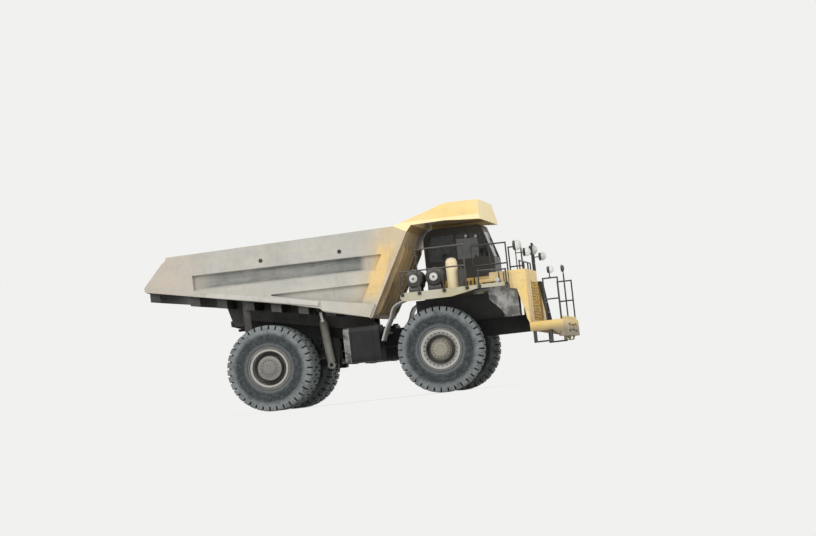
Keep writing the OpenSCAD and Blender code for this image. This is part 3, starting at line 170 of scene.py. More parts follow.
class Finish(Graph):
    """A procedural material on one Principled shader."""

    def __init__(self, name, **constants):
        self.name = name
        self.material = bpy.data.materials.new(f"{name}_finish")
        self.material.use_nodes = True
        super().__init__(self.material.node_tree)
        self.shader = self.tree.nodes["Principled BSDF"]
        self.put(**constants)
        self.place = self.node("ShaderNodeTexCoord", {}, {}).outputs["Object"]
        normal = self.node("ShaderNodeNewGeometry", {}, {}).outputs["Normal"]
        self.x, self.y, self.z = self.parts(self.place)
        self.facing_side, self.facing_up = self.parts(normal)[1:]

    def parts(self, vector):
        """A vector's three numbers."""
        split = self.node("ShaderNodeSeparateXYZ", {}, {0: vector})
        return [Value(self, socket) for socket in split.outputs]

    def radius_from(self, axle):
        """How far a place is from a line that runs across the truck."""
        across, up = self.x - axle.x, self.z - axle.z
        return (across * across + up * up).maths("SQRT")

    def noise(self, scale, detail=4, roughness=0.6, stretch=(1, 1, 1)):
        """Noise from 0 to 1, about 1/scale metres across; a stretch under 1 draws it out along its axis."""
        moved = self.node("ShaderNodeMapping", {}, {"Vector": self.place, "Scale": stretch}).outputs[0]
        values = {"Vector": moved, "Scale": scale, "Detail": detail, "Roughness": roughness}
        return Value(self, self.node("ShaderNodeTexNoise", {}, values).outputs[0])

    def grit(self, scale):
        """Small cells, for stone chips and coarse dust."""
        values = {"Vector": self.place, "Scale": scale}
        return Value(self, self.node("ShaderNodeTexVoronoi", {}, values).outputs[0])

    def put(self, **sockets):
        """Feeds sockets of the shader; Base_Color stands for Base Color."""
        for key, value in sockets.items():
            self.feed(self.shader.inputs[key.replace("_", " ")], value)
        return self

    def bump(self, height, strength, depth):
        """Relief, as deep as depth in metres."""
        values = {"Height": height, "Strength": strength, "Distance": depth}
        return self.put(Normal=self.node("ShaderNodeBump", {}, values).outputs[0])


def tint(code):
    """A written sRGB colour such as d9cbae as the linear colour that a shader takes."""
    def linear(level):
        return level / 12.92 if level <= 0.04045 else ((level + 0.055) / 1.055) ** 2.4
    return tuple(linear(int(code[i:i + 2], 16) / 255) for i in (0, 2, 4)) + (1,)


# Colours, as they look on the truck in soft daylight
DUST = tint("9d978a")
PALE_DUST = tint("bdb7a8")
MUD = tint("57514a")
RUST = tint("6b4a36")
BLACK_STEEL_AND_SHADE = tint("101113")
# Black steel, bare in chips, and also laid as painted shade in the bed's holes and beneath the deck
YELLOW_RUNS = tint("6d5c38")


def dusty(finish, colour, dust=DUST, lie=0.5, film=0.25, rough=0.5):
    """Dust that lies on what faces up and films the rest; returns the colour and the dust's mask."""
    cloud = finish.noise(1.7, 6, 0.65)
    speck = finish.noise(38, 5, 0.7)
    lying = finish.facing_up.between(0.1, 0.9) * lie
    veil = cloud.between(0.35, 0.75) * film + speck.between(0.45, 0.8) * film * 0.5
    mask = (lying * speck.between(0.15, 0.6) + veil).clamped()
    finish.put(Roughness=mask * (0.95 - rough) + rough)
    return finish.mix(mask, colour, dust), mask


def streaks(finish, colour, streak, strength=0.35, scale=9):
    """Dirt that rain has drawn down a wall."""
    run = finish.noise(scale, 4, 0.6, (1, 1, 0.07)).between(0.52, 0.75)
    break_up = finish.noise(2.3, 3).between(0.35, 0.7)
    return finish.mix(run * break_up * strength, colour, streak)


def worn(finish, colour, dirt, strength=0.4):
    """Blotches of ground-in dirt, and long level scuffs that passing rock leaves."""
    blotch = finish.noise(1.4, 6, 0.7).between(0.47, 0.62)
    blotch = blotch * finish.noise(24, 5, 0.75).between(0.38, 0.66)
    scuff = finish.noise(5, 5, 0.7, (0.12, 0.12, 5)).between(0.58, 0.68)
    scuff = scuff * finish.noise(1.9, 4).between(0.45, 0.6)
    colour = finish.mix(blotch * strength, colour, dirt)
    return finish.mix(scuff * strength, colour, dirt)


def chips(finish, colour, bare, amount=0.05, scale=26):
    """Small chips in the paint, showing what is under it."""
    chip = finish.grit(scale).between(amount + 0.05, amount)
    return finish.mix(chip * finish.noise(3.1, 4).between(0.5, 0.66), colour, bare)


def painted(name, code, faded, bare=RUST, dust=PALE_DUST, lie=0.55, film=0.3, streak=MUD, strength=0.3):
    """Sprayed steel that sun has faded in clouds, with dust, runs and chips."""
    finish = Finish(name, Coat_Roughness=0.4)
    fade = finish.noise(0.9, 5, 0.6).between(0.3, 0.75)
    colour = worn(finish, finish.mix(fade, tint(code), tint(faded)), streak, strength)
    colour = chips(finish, streaks(finish, colour, streak, strength * 1.5), bare)
    colour, mask = dusty(finish, colour, dust, lie, film, 0.42)
    finish.put(Base_Color=colour)
    return finish.bump(finish.noise(60, 3) + mask * 0.8, 0.25, 0.002)


def bed_side_paint():
    """The bed's sides: faded cream, scoured grey in the upper panel, yellow at the front post."""
    finish = Finish("bed_side_paint", Coat_Roughness=0.5)
    x, z = finish.x, finish.z
    cloud = finish.noise(0.8, 6, 0.62)
    rub = finish.noise(4, 6, 0.7, (0.25, 1, 2.2)).between(0.4, 0.62)
    outside = (finish.facing_side * finish.y).between(-0.1, 0.1)
    colour = finish.mix(cloud.between(0.3, 0.7), tint("aba9a1"), tint("9b9993"))
    colour = finish.mix(x.between(ahead(-5.4), ahead(-6.6)) * 0.35, colour, tint("b39a84"))
    lower = z.between(3.2, 2.9) * x.between(ahead(-4.6), ahead(-3.4))
    colour = finish.mix(lower * 0.3, colour, tint("c6c3b8"))
    # Yellow by the front edge, which leans; edge is 0 on it and falls towards the back
    edge = x - BED_HIGH.x + (BED_HIGH.z - z) * POST_LEAN
    band = edge.between(-0.6, -0.5) * edge.between(-0.1, -0.2)
    band = band * z.between(3.95, 3.65) * z.between(2.4, 2.75)
    glow = edge.between(-1.2, -0.2) * (z.between(2.25, 2.7) * 0.7 + 0.3)
    yellow = (glow * 0.4 + band * 0.44 + rub * 0.08).clamped()
    colour = finish.mix(yellow * outside, colour, tint("e0b868"))
    # Grey in the upper sunk panel, darker towards its front
    panel = z.between(3.22, 3.27) * z.between(3.62, 3.57) * outside
    panel = panel * x.between(ahead(-6.1), ahead(-5.4)) * x.between(ahead(-1.6), ahead(-1.85))
    grime = rub * 0.3 + x.between(ahead(-3.4), ahead(-2.2)) * 0.2 + 0.6
    colour = finish.mix((panel * grime).clamped(), colour, tint("565857"))
    # Painted shade: a black disc round each hole, for the dark inside of the hole
    for hole in BED_HOLES:
        ring = finish.radius_from(hole).between(0.062, 0.05)
        colour = finish.mix(ring * 0.9, colour, BLACK_STEEL_AND_SHADE)
    colour = worn(finish, streaks(finish, colour, tint("77705f"), 0.5, 7), tint("7f786a"))
    colour = finish.mix((1 - outside) * (rub * 0.4 + 0.4), colour, tint("6d675d"))
    colour = chips(finish, colour, tint("6c5c4a"), 0.06, 20)
    colour, mask = dusty(finish, colour, tint("bcb9b0"), 0.5, 0.25, 0.6)
    finish.put(Base_Color=colour)
    return finish.bump(finish.noise(45, 3) + mask, 0.3, 0.003)


def bed_floor_steel():
    """The bed's floor: scraped by rock along its length inside, dark and dusty beneath."""
    finish = Finish("bed_floor_steel")
    scrape = finish.noise(7, 6, 0.75, (0.08, 1, 1)).between(0.4, 0.66)
    inside = finish.facing_up.between(0.2, 0.6)
    beneath = finish.mix(finish.noise(3, 5).between(0.4, 0.75), tint("121212"), tint("2f2d29"))
    scoured = finish.mix(scrape, tint("6e675c"), tint("a19c92"))
    colour = dusty(finish, finish.mix(inside, beneath, scoured), DUST, 0.3, 0.2, 0.5)[0]
    finish.put(Base_Color=colour, Metallic=inside * scrape * 0.5)
    return finish.bump(scrape * 0.6 + finish.noise(30, 5, 0.7), 0.5, 0.004)


def canopy_paint():
    """Yellow above, with painted light that makes the upright sides paler and painted shade that makes the
    underside brown, and a film of dust on the slopes.
    """
    finish = Finish("canopy_paint", Coat_Roughness=0.4)
    fade = finish.noise(1.1, 5, 0.6).between(0.3, 0.75)
    colour = worn(finish, finish.mix(fade, tint("e0b760"), tint("e1c382")), tint("97803f"))
    colour = chips(finish, streaks(finish, colour, tint("8d7442"), 0.45, 8), RUST, 0.06, 22)
    # Painted light: faces that stand upright are painted paler, as if more lit
    wall = abs(finish.facing_up).between(0.5, 0.1)
    colour = finish.mix(wall * 0.75, colour, tint("fae8b6"))
    colour, mask = dusty(finish, colour, tint("d3c493"), 0.35, 0.2, 0.45)
    # Painted shade: faces that look down are painted brown, as the shade beneath the canopy
    under = finish.facing_up.between(-0.2, -0.6)
    finish.put(Base_Color=finish.mix(under * 0.85, colour, tint("8a6e42")))
    return finish.bump(finish.noise(50, 3) + mask * 0.6, 0.25, 0.002)


def deck_plate():
    """Cream skirts round a dark plate that boots have worn, with raised tread bars."""
    finish = Finish("deck_plate", Coat_Roughness=0.4)
    top = finish.facing_up.between(0.5, 0.9)
    skirt = finish.mix(finish.noise(1.3, 5).between(0.3, 0.7), tint("aca794"), tint("a89c78"))
    skirt = streaks(finish, skirt, tint("6a6252"), 0.45, 11)
    walk = finish.mix(finish.noise(2.2, 5, 0.7).between(0.4, 0.65), tint("4a4844"), tint("77736a"))
    colour, mask = dusty(finish, finish.mix(top, skirt, walk), PALE_DUST, 0.35, 0.25, 0.55)
    bars = (finish.x * 150).maths("SINE") * (finish.y * 150).maths("SINE")
    # Painted shade: faces that look down are painted near black, as the shade beneath the deck
    under = finish.facing_up.between(-0.4, -0.8)
    finish.put(Base_Color=finish.mix(under * 0.85, colour, BLACK_STEEL_AND_SHADE))
    return finish.bump(bars.between(0.4, 0.8) * top + finish.noise(40, 4) * 0.4 + mask * 0.2, 0.4, 0.004)


def panel_paint():
    """The yellow front: sheets with dark joints between them, dusty and grazed low down."""
    finish = Finish("panel_paint", Coat_Roughness=0.35)
    fade = finish.noise(0.9, 5, 0.6).between(0.3, 0.75)
    colour = finish.mix(fade, tint("deb45a"), tint("e6c987"))
    graze = finish.z.between(2.2, 1.5) * finish.noise(8, 6, 0.7).between(0.45, 0.65)
    colour = finish.mix(graze * 0.4, colour, tint("8f8676"))
    colour = worn(finish, streaks(finish, colour, YELLOW_RUNS, 0.55, 10), tint("77653c"), 0.45)
    colour = chips(finish, colour, RUST, 0.07, 24)
    colour, mask = dusty(finish, colour, tint("cfc5a6"), 0.5, 0.25, 0.42)
    outer, inner = (abs(finish.y - seam_y).between(0.012, 0.006) for seam_y in (-1.2, GRILLE_LOW.y))
    joint = outer + inner
    finish.put(Base_Color=finish.mix(joint.clamped() * 0.85, colour, tint("2b2822")))
    return finish.bump(finish.noise(60, 3) + mask * 0.6 - joint, 0.3, 0.003)


def bumper_paint():
    """Yellow above, with stone-grazed lower edges that are painted dark low down, as mud and as painted
    shade.
    """
    finish = Finish("bumper_paint", Coat_Roughness=0.4)
    fade = finish.noise(1.2, 5, 0.6).between(0.3, 0.75)
    # Dark patches low down: part mud, part painted shade of the bumper's underside
    mud = finish.z.between(1.5, 1.2) * finish.noise(6, 6, 0.75).between(0.2, 0.45)
    colour = finish.mix(fade, tint("e2b95c"), tint("e6cb88"))
    colour = finish.mix(mud * 0.85, colour, tint("4b4437"))
    colour = chips(finish, streaks(finish, colour, YELLOW_RUNS, 0.5, 10), RUST, 0.07, 22)
    colour, mask = dusty(finish, colour, PALE_DUST, 0.5, 0.3, 0.5)
    finish.put(Base_Color=colour)
    return finish.bump(finish.noise(50, 3) + mask * 0.6 + mud * 0.5, 0.3, 0.003)


def battery_paint():
    """Grey sheet, blotched with dark stains and pale scuffs."""
    finish = Finish("battery_paint", Coat_Roughness=0.4)
    stain = finish.noise(2.6, 6, 0.7, (1, 1, 0.6)).between(0.46, 0.58)
    scuff = finish.noise(7, 6, 0.75).between(0.58, 0.68)
    colour = finish.mix(stain, tint("8f8e89"), tint("474543"))
    colour = finish.mix(scuff * 0.7, colour, tint("c4c3bd"))
    colour = chips(finish, streaks(finish, colour, tint("3a3834"), 0.7, 8), RUST, 0.07, 24)
    colour, mask = dusty(finish, colour, PALE_DUST, 0.5, 0.2, 0.5)
    finish.put(Base_Color=colour)
    return finish.bump(finish.noise(40, 4) + mask * 0.6, 0.3, 0.003)


def frame_steel():
    """Frame steel painted near-black, partly as painted shade for the deep shade under the truck, with
    grease, and mud thrown up low down.
    """
    finish = Finish("frame_steel", Specular_IOR_Level=0.25)
    grease = finish.noise(4, 6, 0.7).between(0.4, 0.7)
    mud = finish.z.between(1.7, 0.8) * finish.noise(9, 6, 0.75).between(0.45, 0.65)
    # Painted shade: the steel's near black is in part painted shade, for the deep shade under the truck
    colour = finish.mix(grease, tint("0c0d0e"), tint("171716"))
    colour = finish.mix(mud * 0.5, colour, tint("3f3c36"))
    finish.put(Base_Color=dusty(finish, colour, tint("55524b"), 0.3, 0.06, 0.55)[0])
    return finish.bump(finish.noise(25, 6, 0.7) + mud, 0.4, 0.006)


def tank_paint():
    """Tanks painted black, partly as painted shade for the deep shade under the truck, with one pale strap
    on each side at the rear end and pale runs down the walls.
    """
    finish = Finish("tank_paint", Specular_IOR_Level=0.3)
    strap = finish.x.between(ahead(-2.24), ahead(-2.26)) * abs(finish.facing_side).between(0.5, 0.8)
    strap = strap * finish.noise(5, 5, 0.7).between(0.3, 0.6)
    # Painted shade: the tanks' black is in part painted shade, for the deep shade under the truck
    colour = finish.mix(finish.noise(3, 5).between(0.35, 0.7), tint("0b0e0d"), tint("141716"))
    colour = finish.mix(strap * 0.9, colour, tint("8f8e88"))
    colour = streaks(finish, colour, tint("3a3a36"), 0.4, 6)
    colour, mask = dusty(finish, colour, tint("5b5a55"), 0.4, 0.05, 0.5)
    finish.put(Base_Color=colour)
    return finish.bump(finish.noise(30, 5) + mask * 0.5, 0.3, 0.003)


def rim_paint(name, axle, hub_edge, ring_edge, bead, hub_colour):
    """Grey rims: a pale ring, dark outside it, and dark with painted shade and mud in the recess between
    the ring and the hub.
    """
    finish = Finish(name, Coat_Roughness=0.5)
    radius = finish.radius_from(axle)
    cloud = finish.noise(5, 6, 0.7)
    # Painted shade and mud: the recess between the hub and the ring is painted dark
    recess = radius.between(hub_edge - 0.01, hub_edge + 0.02)
    recess = recess * radius.between(ring_edge + 0.015, ring_edge - 0.015)
    colour = finish.mix(cloud.between(0.35, 0.65), tint("7f7f7c"), tint("94938e"))
    colour = finish.mix(radius.between(hub_edge, hub_edge - 0.03) * 0.8, colour, tint(hub_colour))
    colour = finish.mix(recess * (cloud * 0.3 + 0.7), colour, tint("1c1b19"))
    colour = finish.mix(radius.between(ring_edge, ring_edge + 0.03) * 0.6, colour, tint("b3b1aa"))
    colour = finish.mix(radius.between(bead - 0.01, bead + 0.01) * 0.8, colour, tint("2d2c2a"))
    colour = chips(finish, colour, RUST, 0.06, 30)
    colour, mask = dusty(finish, colour, tint("a19a8b"), 0.3, 0.3, 0.55)
    finish.put(Base_Color=colour)
    return finish.bump(finish.noise(50, 4) + mask * 0.6, 0.3, 0.003)


def tyre_rubber(name, axle):
    """Dusty rubber: pale at the shoulder and by the rim, painted black in the grooves as painted shade,
    with moulded rings.
    """
    finish = Finish(name, Specular_IOR_Level=0.3)
    radius = finish.radius_from(axle)
    grain = finish.noise(14, 6, 0.7)
    shoulder = radius.between(TYRE_RADIUS * 0.74, TYRE_RADIUS * 0.86)
    shoulder = shoulder * finish.noise(6, 5, 0.7).between(0.15, 0.6)
    bead = radius.between(TYRE_RADIUS * 0.62, TYRE_RADIUS * 0.52)
    dust = shoulder * 0.8 + bead * 0.5 + grain.between(0.4, 0.8) * 0.2
    tread = abs(finish.facing_side).between(0.75, 0.45)
    # Painted shade: the bottoms of the tread's grooves are painted near black
    groove_shade = tread * radius.between(TYRE_RADIUS - 0.02, TYRE_RADIUS - 0.05)
    rings = radius.between(TYRE_RADIUS * 0.6, TYRE_RADIUS * 0.62)
    rings = rings - radius.between(TYRE_RADIUS * 0.66, TYRE_RADIUS * 0.68)
    colour = finish.mix(grain.between(0.3, 0.7), tint("2a2d2d"), tint("3a3e3e"))
    colour = finish.mix(dust.clamped(), colour, tint("7d8180"))
    colour = finish.mix(groove_shade * 0.8, colour, tint("101112"))
    finish.put(Base_Color=colour, Roughness=0.85 - dust * 0.1)
    return finish.bump((radius * 140).maths("SINE") * rings * 0.5 + finish.noise(70, 4) * 0.6, 0.5, 0.006)


def bare_steel(name, code, rough, dirt="6b675f"):
    """Machined steel with smears of dirty oil."""
    finish = Finish(name)
    smear = finish.noise(6, 5, 0.7, (1, 1, 0.3))
    finish.put(Base_Color=finish.mix(smear.between(0.4, 0.7), tint(code), tint(dirt)))
    finish.put(Metallic=0.9 - smear.between(0.5, 0.8) * 0.5, Roughness=smear * 0.35 + rough)
    return finish.bump(finish.noise(80, 3), 0.2, 0.001)


def window_glass():
    """Grey-tinted glass with a film of dust."""
    finish = Finish("window_glass", Specular_IOR_Level=0.6)
    film = finish.noise(7, 6, 0.7).between(0.4, 0.8)
    finish.put(Base_Color=finish.mix(film * 0.3, tint("101519"), DUST))
    return finish.put(Roughness=film * 0.35 + 0.05, Alpha=film * 0.15 + 0.72)


def moulded(name, code, rough=0.6, scale=120, film=0.3):
    """Grained plastic, vinyl or rubber."""
    finish = Finish(name)
    wear = finish.noise(5, 5, 0.7).between(0.4, 0.75)
    finish.put(Base_Color=finish.mix(wear * film, tint(code), DUST), Roughness=wear * 0.2 + rough)
    return finish.bump(finish.grit(scale), 0.3, 0.001)


def lens(name, code, other):
    """Fluted lamp glass over a bright reflector."""
    finish = Finish(name, Coat_Roughness=0.1)
    flutes = finish.noise(30, 2, 0.4, (1, 3, 0.2))
    finish.put(Base_Color=finish.mix(flutes, tint(code), tint(other)))
    finish.put(Coat_Weight=flutes * 0.2 + 0.7, Roughness=flutes * 0.1 + 0.12)
    return finish.bump(flutes, 0.4, 0.004)


MATERIALS = {finish.name: finish for finish in (
    bed_side_paint(),
    bed_floor_steel(),
    canopy_paint(),
    deck_plate(),
    panel_paint(),
    frame_steel(),
    tyre_rubber("front_rubber", FRONT_AXLE),
    tyre_rubber("rear_rubber", REAR_AXLE),
    window_glass(),
    painted("headboard_paint", "c6ab7c", "b59c70", film=0.2, strength=0.35),
    bumper_paint(),
    # The cab is painted near black as painted shade, for the canopy's shade over it
    painted("cab_painted_shade", "2a2824", "36322b", dust=tint("6b655a"), film=0.15),
    painted("canister_paint", "f0d9a4", "ecdcb6", streak=tint("8d7c58")),
    painted("box_paint", "c9a45a", "cdb988", streak=tint("5d5240"), strength=0.5),
    battery_paint(),
    painted("handrail_paint", "1f2022", "2c2b2a", dust=DUST, lie=0.4, film=0.1),
    painted("guard_paint", "8e8e8a", "a3a29c", strength=0.5),
    rim_paint("front_rim_paint", FRONT_AXLE, 0.262, 0.385, 0.49, "857d6b"),
    rim_paint("rear_rim_paint", REAR_AXLE, 0.29, 0.415, 0.475, "605f5a"),
    painted("case_paint", "1d1d1c", "2b2a27", bare=BLACK_STEEL_AND_SHADE, dust=DUST, lie=0.5, film=0.15),
    tank_paint(),
    painted("engine_paint", "1c1c1b", "272622", dust=DUST, lie=0.4, film=0.08),
    painted("cap_paint", "d8d8d4", "c9c8c2", film=0.2),
    bare_steel("hoist_chrome", "c9c9c6", 0.12),
    bare_steel("link_steel", "2c2b2a", 0.4, "45423d"),
    painted("barrel_paint", "8d8b83", "7b786f", bare=BLACK_STEEL_AND_SHADE, dust=DUST, streak=tint("2b2a27"),
            strength=0.6),
    bare_steel("nut_steel", "6b6760", 0.4),
    bare_steel("mirror_glass", "dfe3e6", 0.03, "b9bcbd"),
    moulded("cab_trim", "1f1f21"),
    moulded("seat_cloth", "2f3238", 0.85, 300, 0.15),
    moulded("mirror_case", "232323", 0.5, 60),
    moulded("radiator_fins", "101111", 0.7, 90),
    lens("lamp_glass", "c9cac6", "a9adb0"),
    lens("tail_glass", "8e1712", "a5241c"),
)}

# The finish of each node that the CAD part brings
DRESSED = {
    "bed_side_paint": ["bed_side_left", "bed_side_right"],
    "bed_floor_steel": ["bed_floor"],
    "headboard_paint": ["bed_headboard"],
    "canopy_paint": ["canopy"],
    "panel_paint": ["front_panels", "radiator_grille", "engine_hood"],
    "bumper_paint": ["front_bumper"],
    "cab_painted_shade": ["cab_shell", "cab_door"],
    "deck_plate": ["deck"],
    "battery_paint": ["battery_box"],
    "canister_paint": ["canister"],
    "box_paint": ["deck_boxes"],
    "handrail_paint": ["handrails", "ladders"],
    "guard_paint": ["mudguards"],
    "front_rim_paint": ["front_rim_left", "front_rim_right"],
    "rear_rim_paint": ["rear_rims_left", "rear_rims_right"],
    "case_paint": ["air_cleaners"],
    "tank_paint": ["side_tanks"],
    "engine_paint": ["engine_block", "gearbox"],
    "frame_steel": ["main_frame", "rear_axle", "suspension_struts", "knuckle_left", "knuckle_right"],
    "front_rubber": ["front_tyre_left", "front_tyre_right"],
    "rear_rubber": ["rear_tyres_left", "rear_tyres_right"],
    "hoist_chrome": ["hoist_stage_left", "hoist_stage_right", "hoist_rod_left", "hoist_rod_right"],
    "link_steel": ["tie_rod"],
    "barrel_paint": ["hoist_barrel_left", "hoist_barrel_right"],
    "window_glass": ["cab_glass"],
    "cab_trim": ["cab_interior"],
    "mirror_case": ["mirrors"],
    "cap_paint": ["headlamps"],
}

for finish_name, members in DRESSED.items():
    for member in members:
        slots = NODES[member].data.materials
        slots.clear()
        slots.append(MATERIALS[finish_name].material)


# Fittings

class Fitting:
    """A piece that is added to the part, built up in metres in the truck's own frame."""

    def __init__(self, name, finish, body="chassis"):
        self.name, self.finish, self.body = name, finish, body
        self.mesh = bmesh.new()

    def block(self, low, high, bevel=0.0):
        """A box between two corners, with its edges rounded off where a bevel is given."""
        made = bmesh.ops.create_cube(self.mesh, size=1)["verts"]
        low, high = Vector(low), Vector(high)
        for vert in made:
            vert.co = (low + high) / 2 + Vector(c * s for c, s in zip(vert.co, high - low))
        if bevel:
            edges = list({edge for vert in made for edge in vert.link_edges})
            bmesh.ops.bevel(self.mesh, geom=edges, offset=bevel, segments=2, affect="EDGES", profile=0.5)
        return self

    def ring(self, middle, flat, other, radius, sides):
        """Points round a middle, in the plane of two directions."""
        turns = [2 * math.pi * i / sides for i in range(sides)]
        spokes = [flat * math.cos(t) + other * math.sin(t) for t in turns]
        return [self.mesh.verts.new(middle + spoke * radius) for spoke in spokes]

    def skin(self, rings):
        """Faces from each ring to the next, closed off at both ends."""
        for near, far in zip(rings, rings[1:]):
            for i in range(len(near)):
                j = (i + 1) % len(near)
                self.mesh.faces.new((near[i], near[j], far[j], far[i]))
        self.mesh.faces.new(reversed(rings[0]))
        self.mesh.faces.new(rings[-1])
        return self

    def turned(self, spot, axis, outline, sides=24):
        """A turned shape on an axis through spot; the outline is (radius, distance along the axis)."""
        tip = 1e-5                 # a radius of 0 is made this small, so that its ring can be closed
        axis = Vector(axis).normalized()
        flat = axis.orthogonal().normalized()
        other = axis.cross(flat)
        return self.skin([self.ring(Vector(spot) + axis * along, flat, other, max(radius, tip), sides)
                          for radius, along in outline])

    def tube(self, points, diameter, sides=10):
        """A pipe or hose along its points."""
        points = [Vector(point) for point in points]
        side = (points[1] - points[0]).orthogonal().normalized()
        rings = []
        for i, point in enumerate(points):
            run = (points[min(i + 1, len(points) - 1)] - points[max(i - 1, 0)]).normalized()
            side = (side - run * side.dot(run)).normalized()
            rings.append(self.ring(point, side, run.cross(side), diameter / 2, sides))
        return self.skin(rings)

    def bolts(self, spots, axis, radius, height):
        """Hexagon heads on washers."""
        washer, dome = 0.003, 0.002
        outline = [(radius * 1.6, 0), (radius * 1.6, washer), (radius, washer), (radius, height),
                   (radius * 0.8, height + dome)]
        for spot in spots:
            self.turned(spot, axis, outline, 6)
        return self

    def fit(self):
        """Makes the object, gives it its finish and lets it ride on its body."""
        bmesh.ops.recalc_face_normals(self.mesh, faces=self.mesh.faces)
        data = bpy.data.meshes.new(self.name)
        self.mesh.to_mesh(data)
        self.mesh.free()
        data.shade_smooth()
        data.set_sharp_from_angle(angle=math.radians(35))
        data.materials.append(MATERIALS[self.finish].material)
        piece = bpy.data.objects.new(self.name, data)
        bpy.context.collection.objects.link(piece)
        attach(piece, self.body)
        return piece


def ring_of(centre, radius, count):
    """Places round a wheel's centre, in a plane square to the axle."""
    turns = [2 * math.pi * i / count for i in range(count)]
    return [centre + Vector((math.cos(t), 0, math.sin(t))) * radius for t in turns]


def bend(points, steps=4):
    """A smooth line through a few points, with so many steps from each to the next."""
    points = [Vector(point) for point in points]
    line = []
    for before, start, end, after in zip(points[:1] + points, points, points[1:], points[2:] + points[-1:]):
        slope = end - before
        curve = 2 * before - 5 * start + 4 * end - after
        twist = 3 * start - before - 3 * end + after
        for k in range(steps):
            t = k / steps
            line.append(0.5 * (2 * start + slope * t + curve * t ** 2 + twist * t ** 3))
    return line + [points[-1]]


def seated(node, spot, out):
    """The place on a node's surface that a line into it from outside meets first, or spot."""
    body = NODES[node]
    turn = body.matrix_world.inverted()
    start, end = turn @ (spot + out * 0.6), turn @ (spot - out)
    hit, place, _, _ = body.ray_cast(start, end - start)
    return body.matrix_world @ place if hit else spot


def wheel_fastenings():
    """Nuts round each rim, bolts on each hub and a valve on each outer rim."""
    rows = {
        "front": (FRONT_AXLE, "front_wheel", "front_tyre", "front_rim", 0.425, 24),
        "rear": (REAR_AXLE, "rear_wheels", "rear_tyres", "rear_rims", 0.4, 28),
    }
    hub_ring, hub_bolts = 0.206, 16
    for end, (axle, body, tyre, rim, nut_ring, count) in rows.items():
        for side, sign in SIDES.items():
            out = LEFT * sign
            face = max(abs(corner.y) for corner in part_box(f"{tyre}_{side}"))
            hub = Vector((axle.x, sign * (face - TYRE_WIDTH / 2), axle.z))
            nuts = Fitting(f"{end}_wheel_nuts_{side}", "nut_steel", f"{body}_{side}")
            for spots, radius, height in ((ring_of(hub, nut_ring, count), 0.019, 0.026),
                                          (ring_of(hub, hub_ring, hub_bolts), 0.012, 0.012)):
                nuts.bolts([seated(f"{rim}_{side}", spot, out) for spot in spots], out, radius, height)
            foot = seated(f"{rim}_{side}", hub + Vector((0.36, 0, 0.05)), out)
            tip = foot + out * 0.05 + Vector((0.05, 0, 0.01))
            nuts.tube([foot - out * 0.01, foot + out * 0.03, tip], 0.014)
            nuts.fit()


def radiator_core():
    """Upright fins behind the louvres."""
    rim = Vector((0, 0.062, 0.062))
    low, high = GRILLE_LOW + rim, GRILLE_HIGH - rim
    face = GRILLE_LOW.x + 0.006
    plate, fin_depth, fin_half, fins = 0.012, 0.03, 0.003, 60
    core = Fitting("radiator_core", "radiator_fins")
    core.block((face, low.y, low.z), (face + plate, high.y, high.z))
    for i in range(fins):
        y = low.y + (high.y - low.y) * (i + 0.5) / fins
        core.block((face + 0.01, y - fin_half, low.z), (face + fin_depth, y + fin_half, high.z))
    core.fit()


def cleaner_caps():
    """White end caps on the air cleaners, with the clamp bands that hold their lids."""
    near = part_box("air_cleaners")[0].y
    z = DECK_TOP + 0.33
    cap = [(0.1, -0.04), (0.1, 0), (0.085, 0.012), (0.05, 0.016), (0.02, 0.03), (0, 0.032)]
    inner, outer, width = 0.222, 0.229, 0.03
    band = [(outer, 0), (outer, width), (inner, width), (inner, 0)]
    for number, x in enumerate((ahead(-0.48), ahead(0.03))):
        Fitting(f"cleaner_cap_{number}", "cap_paint").turned((x, near, z), -LEFT, cap, 32).fit()
        nut = Fitting(f"cleaner_nut_{number}", "nut_steel")
        nut.bolts([(x, near - 0.028, z)], -LEFT, 0.02, 0.03).fit()
        bands = Fitting(f"cleaner_bands_{number}", "nut_steel")
        for y in (near + 0.3, near + 0.62):
            bands.turned((x, y, z), LEFT, band, 40)
            bands.block((x - 0.02, y, z + inner), (x + 0.02, y + width, z + 0.25), 0.004)
        bands.fit()


def mirror_glasses():
    """Bright glass on the back of each mirror's head, and a white dome on the front of all but the last."""
    heads = [(x, y, z, width) for x, z, width in ((2.16, 3.425, 0.25), (2.39, 3.23, 0.216))
             for y in (1.995, -1.995)]
    heads += [(2.93, -1.97, 2.729, 0.176), (3.11, -0.1, 2.789, 0.19)]
    glass_setback = 0.084
    domes, glasses = Fitting("mirror_domes", "cap_paint"), Fitting("mirror_glasses", "mirror_glass")
    for x, y, z, width in heads[:-1]:
        r = width / 2
        dome = [(r * 1.02, -0.02), (r * 1.04, 0), (r * 0.95, r * 0.4), (r * 0.7, r * 0.75),
                (r * 0.35, r * 0.95), (0, r)]
        domes.turned((ahead(x), y, z), FORWARD, dome, 32)
    for x, y, z, width in heads:
        glass = [(width * 0.44, 0), (width * 0.4, 0.006), (width * 0.2, 0.01), (0, 0.011)]
        glasses.turned((ahead(x) - glass_setback, y, z), -FORWARD, glass, 32)
    glasses.fit()
    domes.fit()


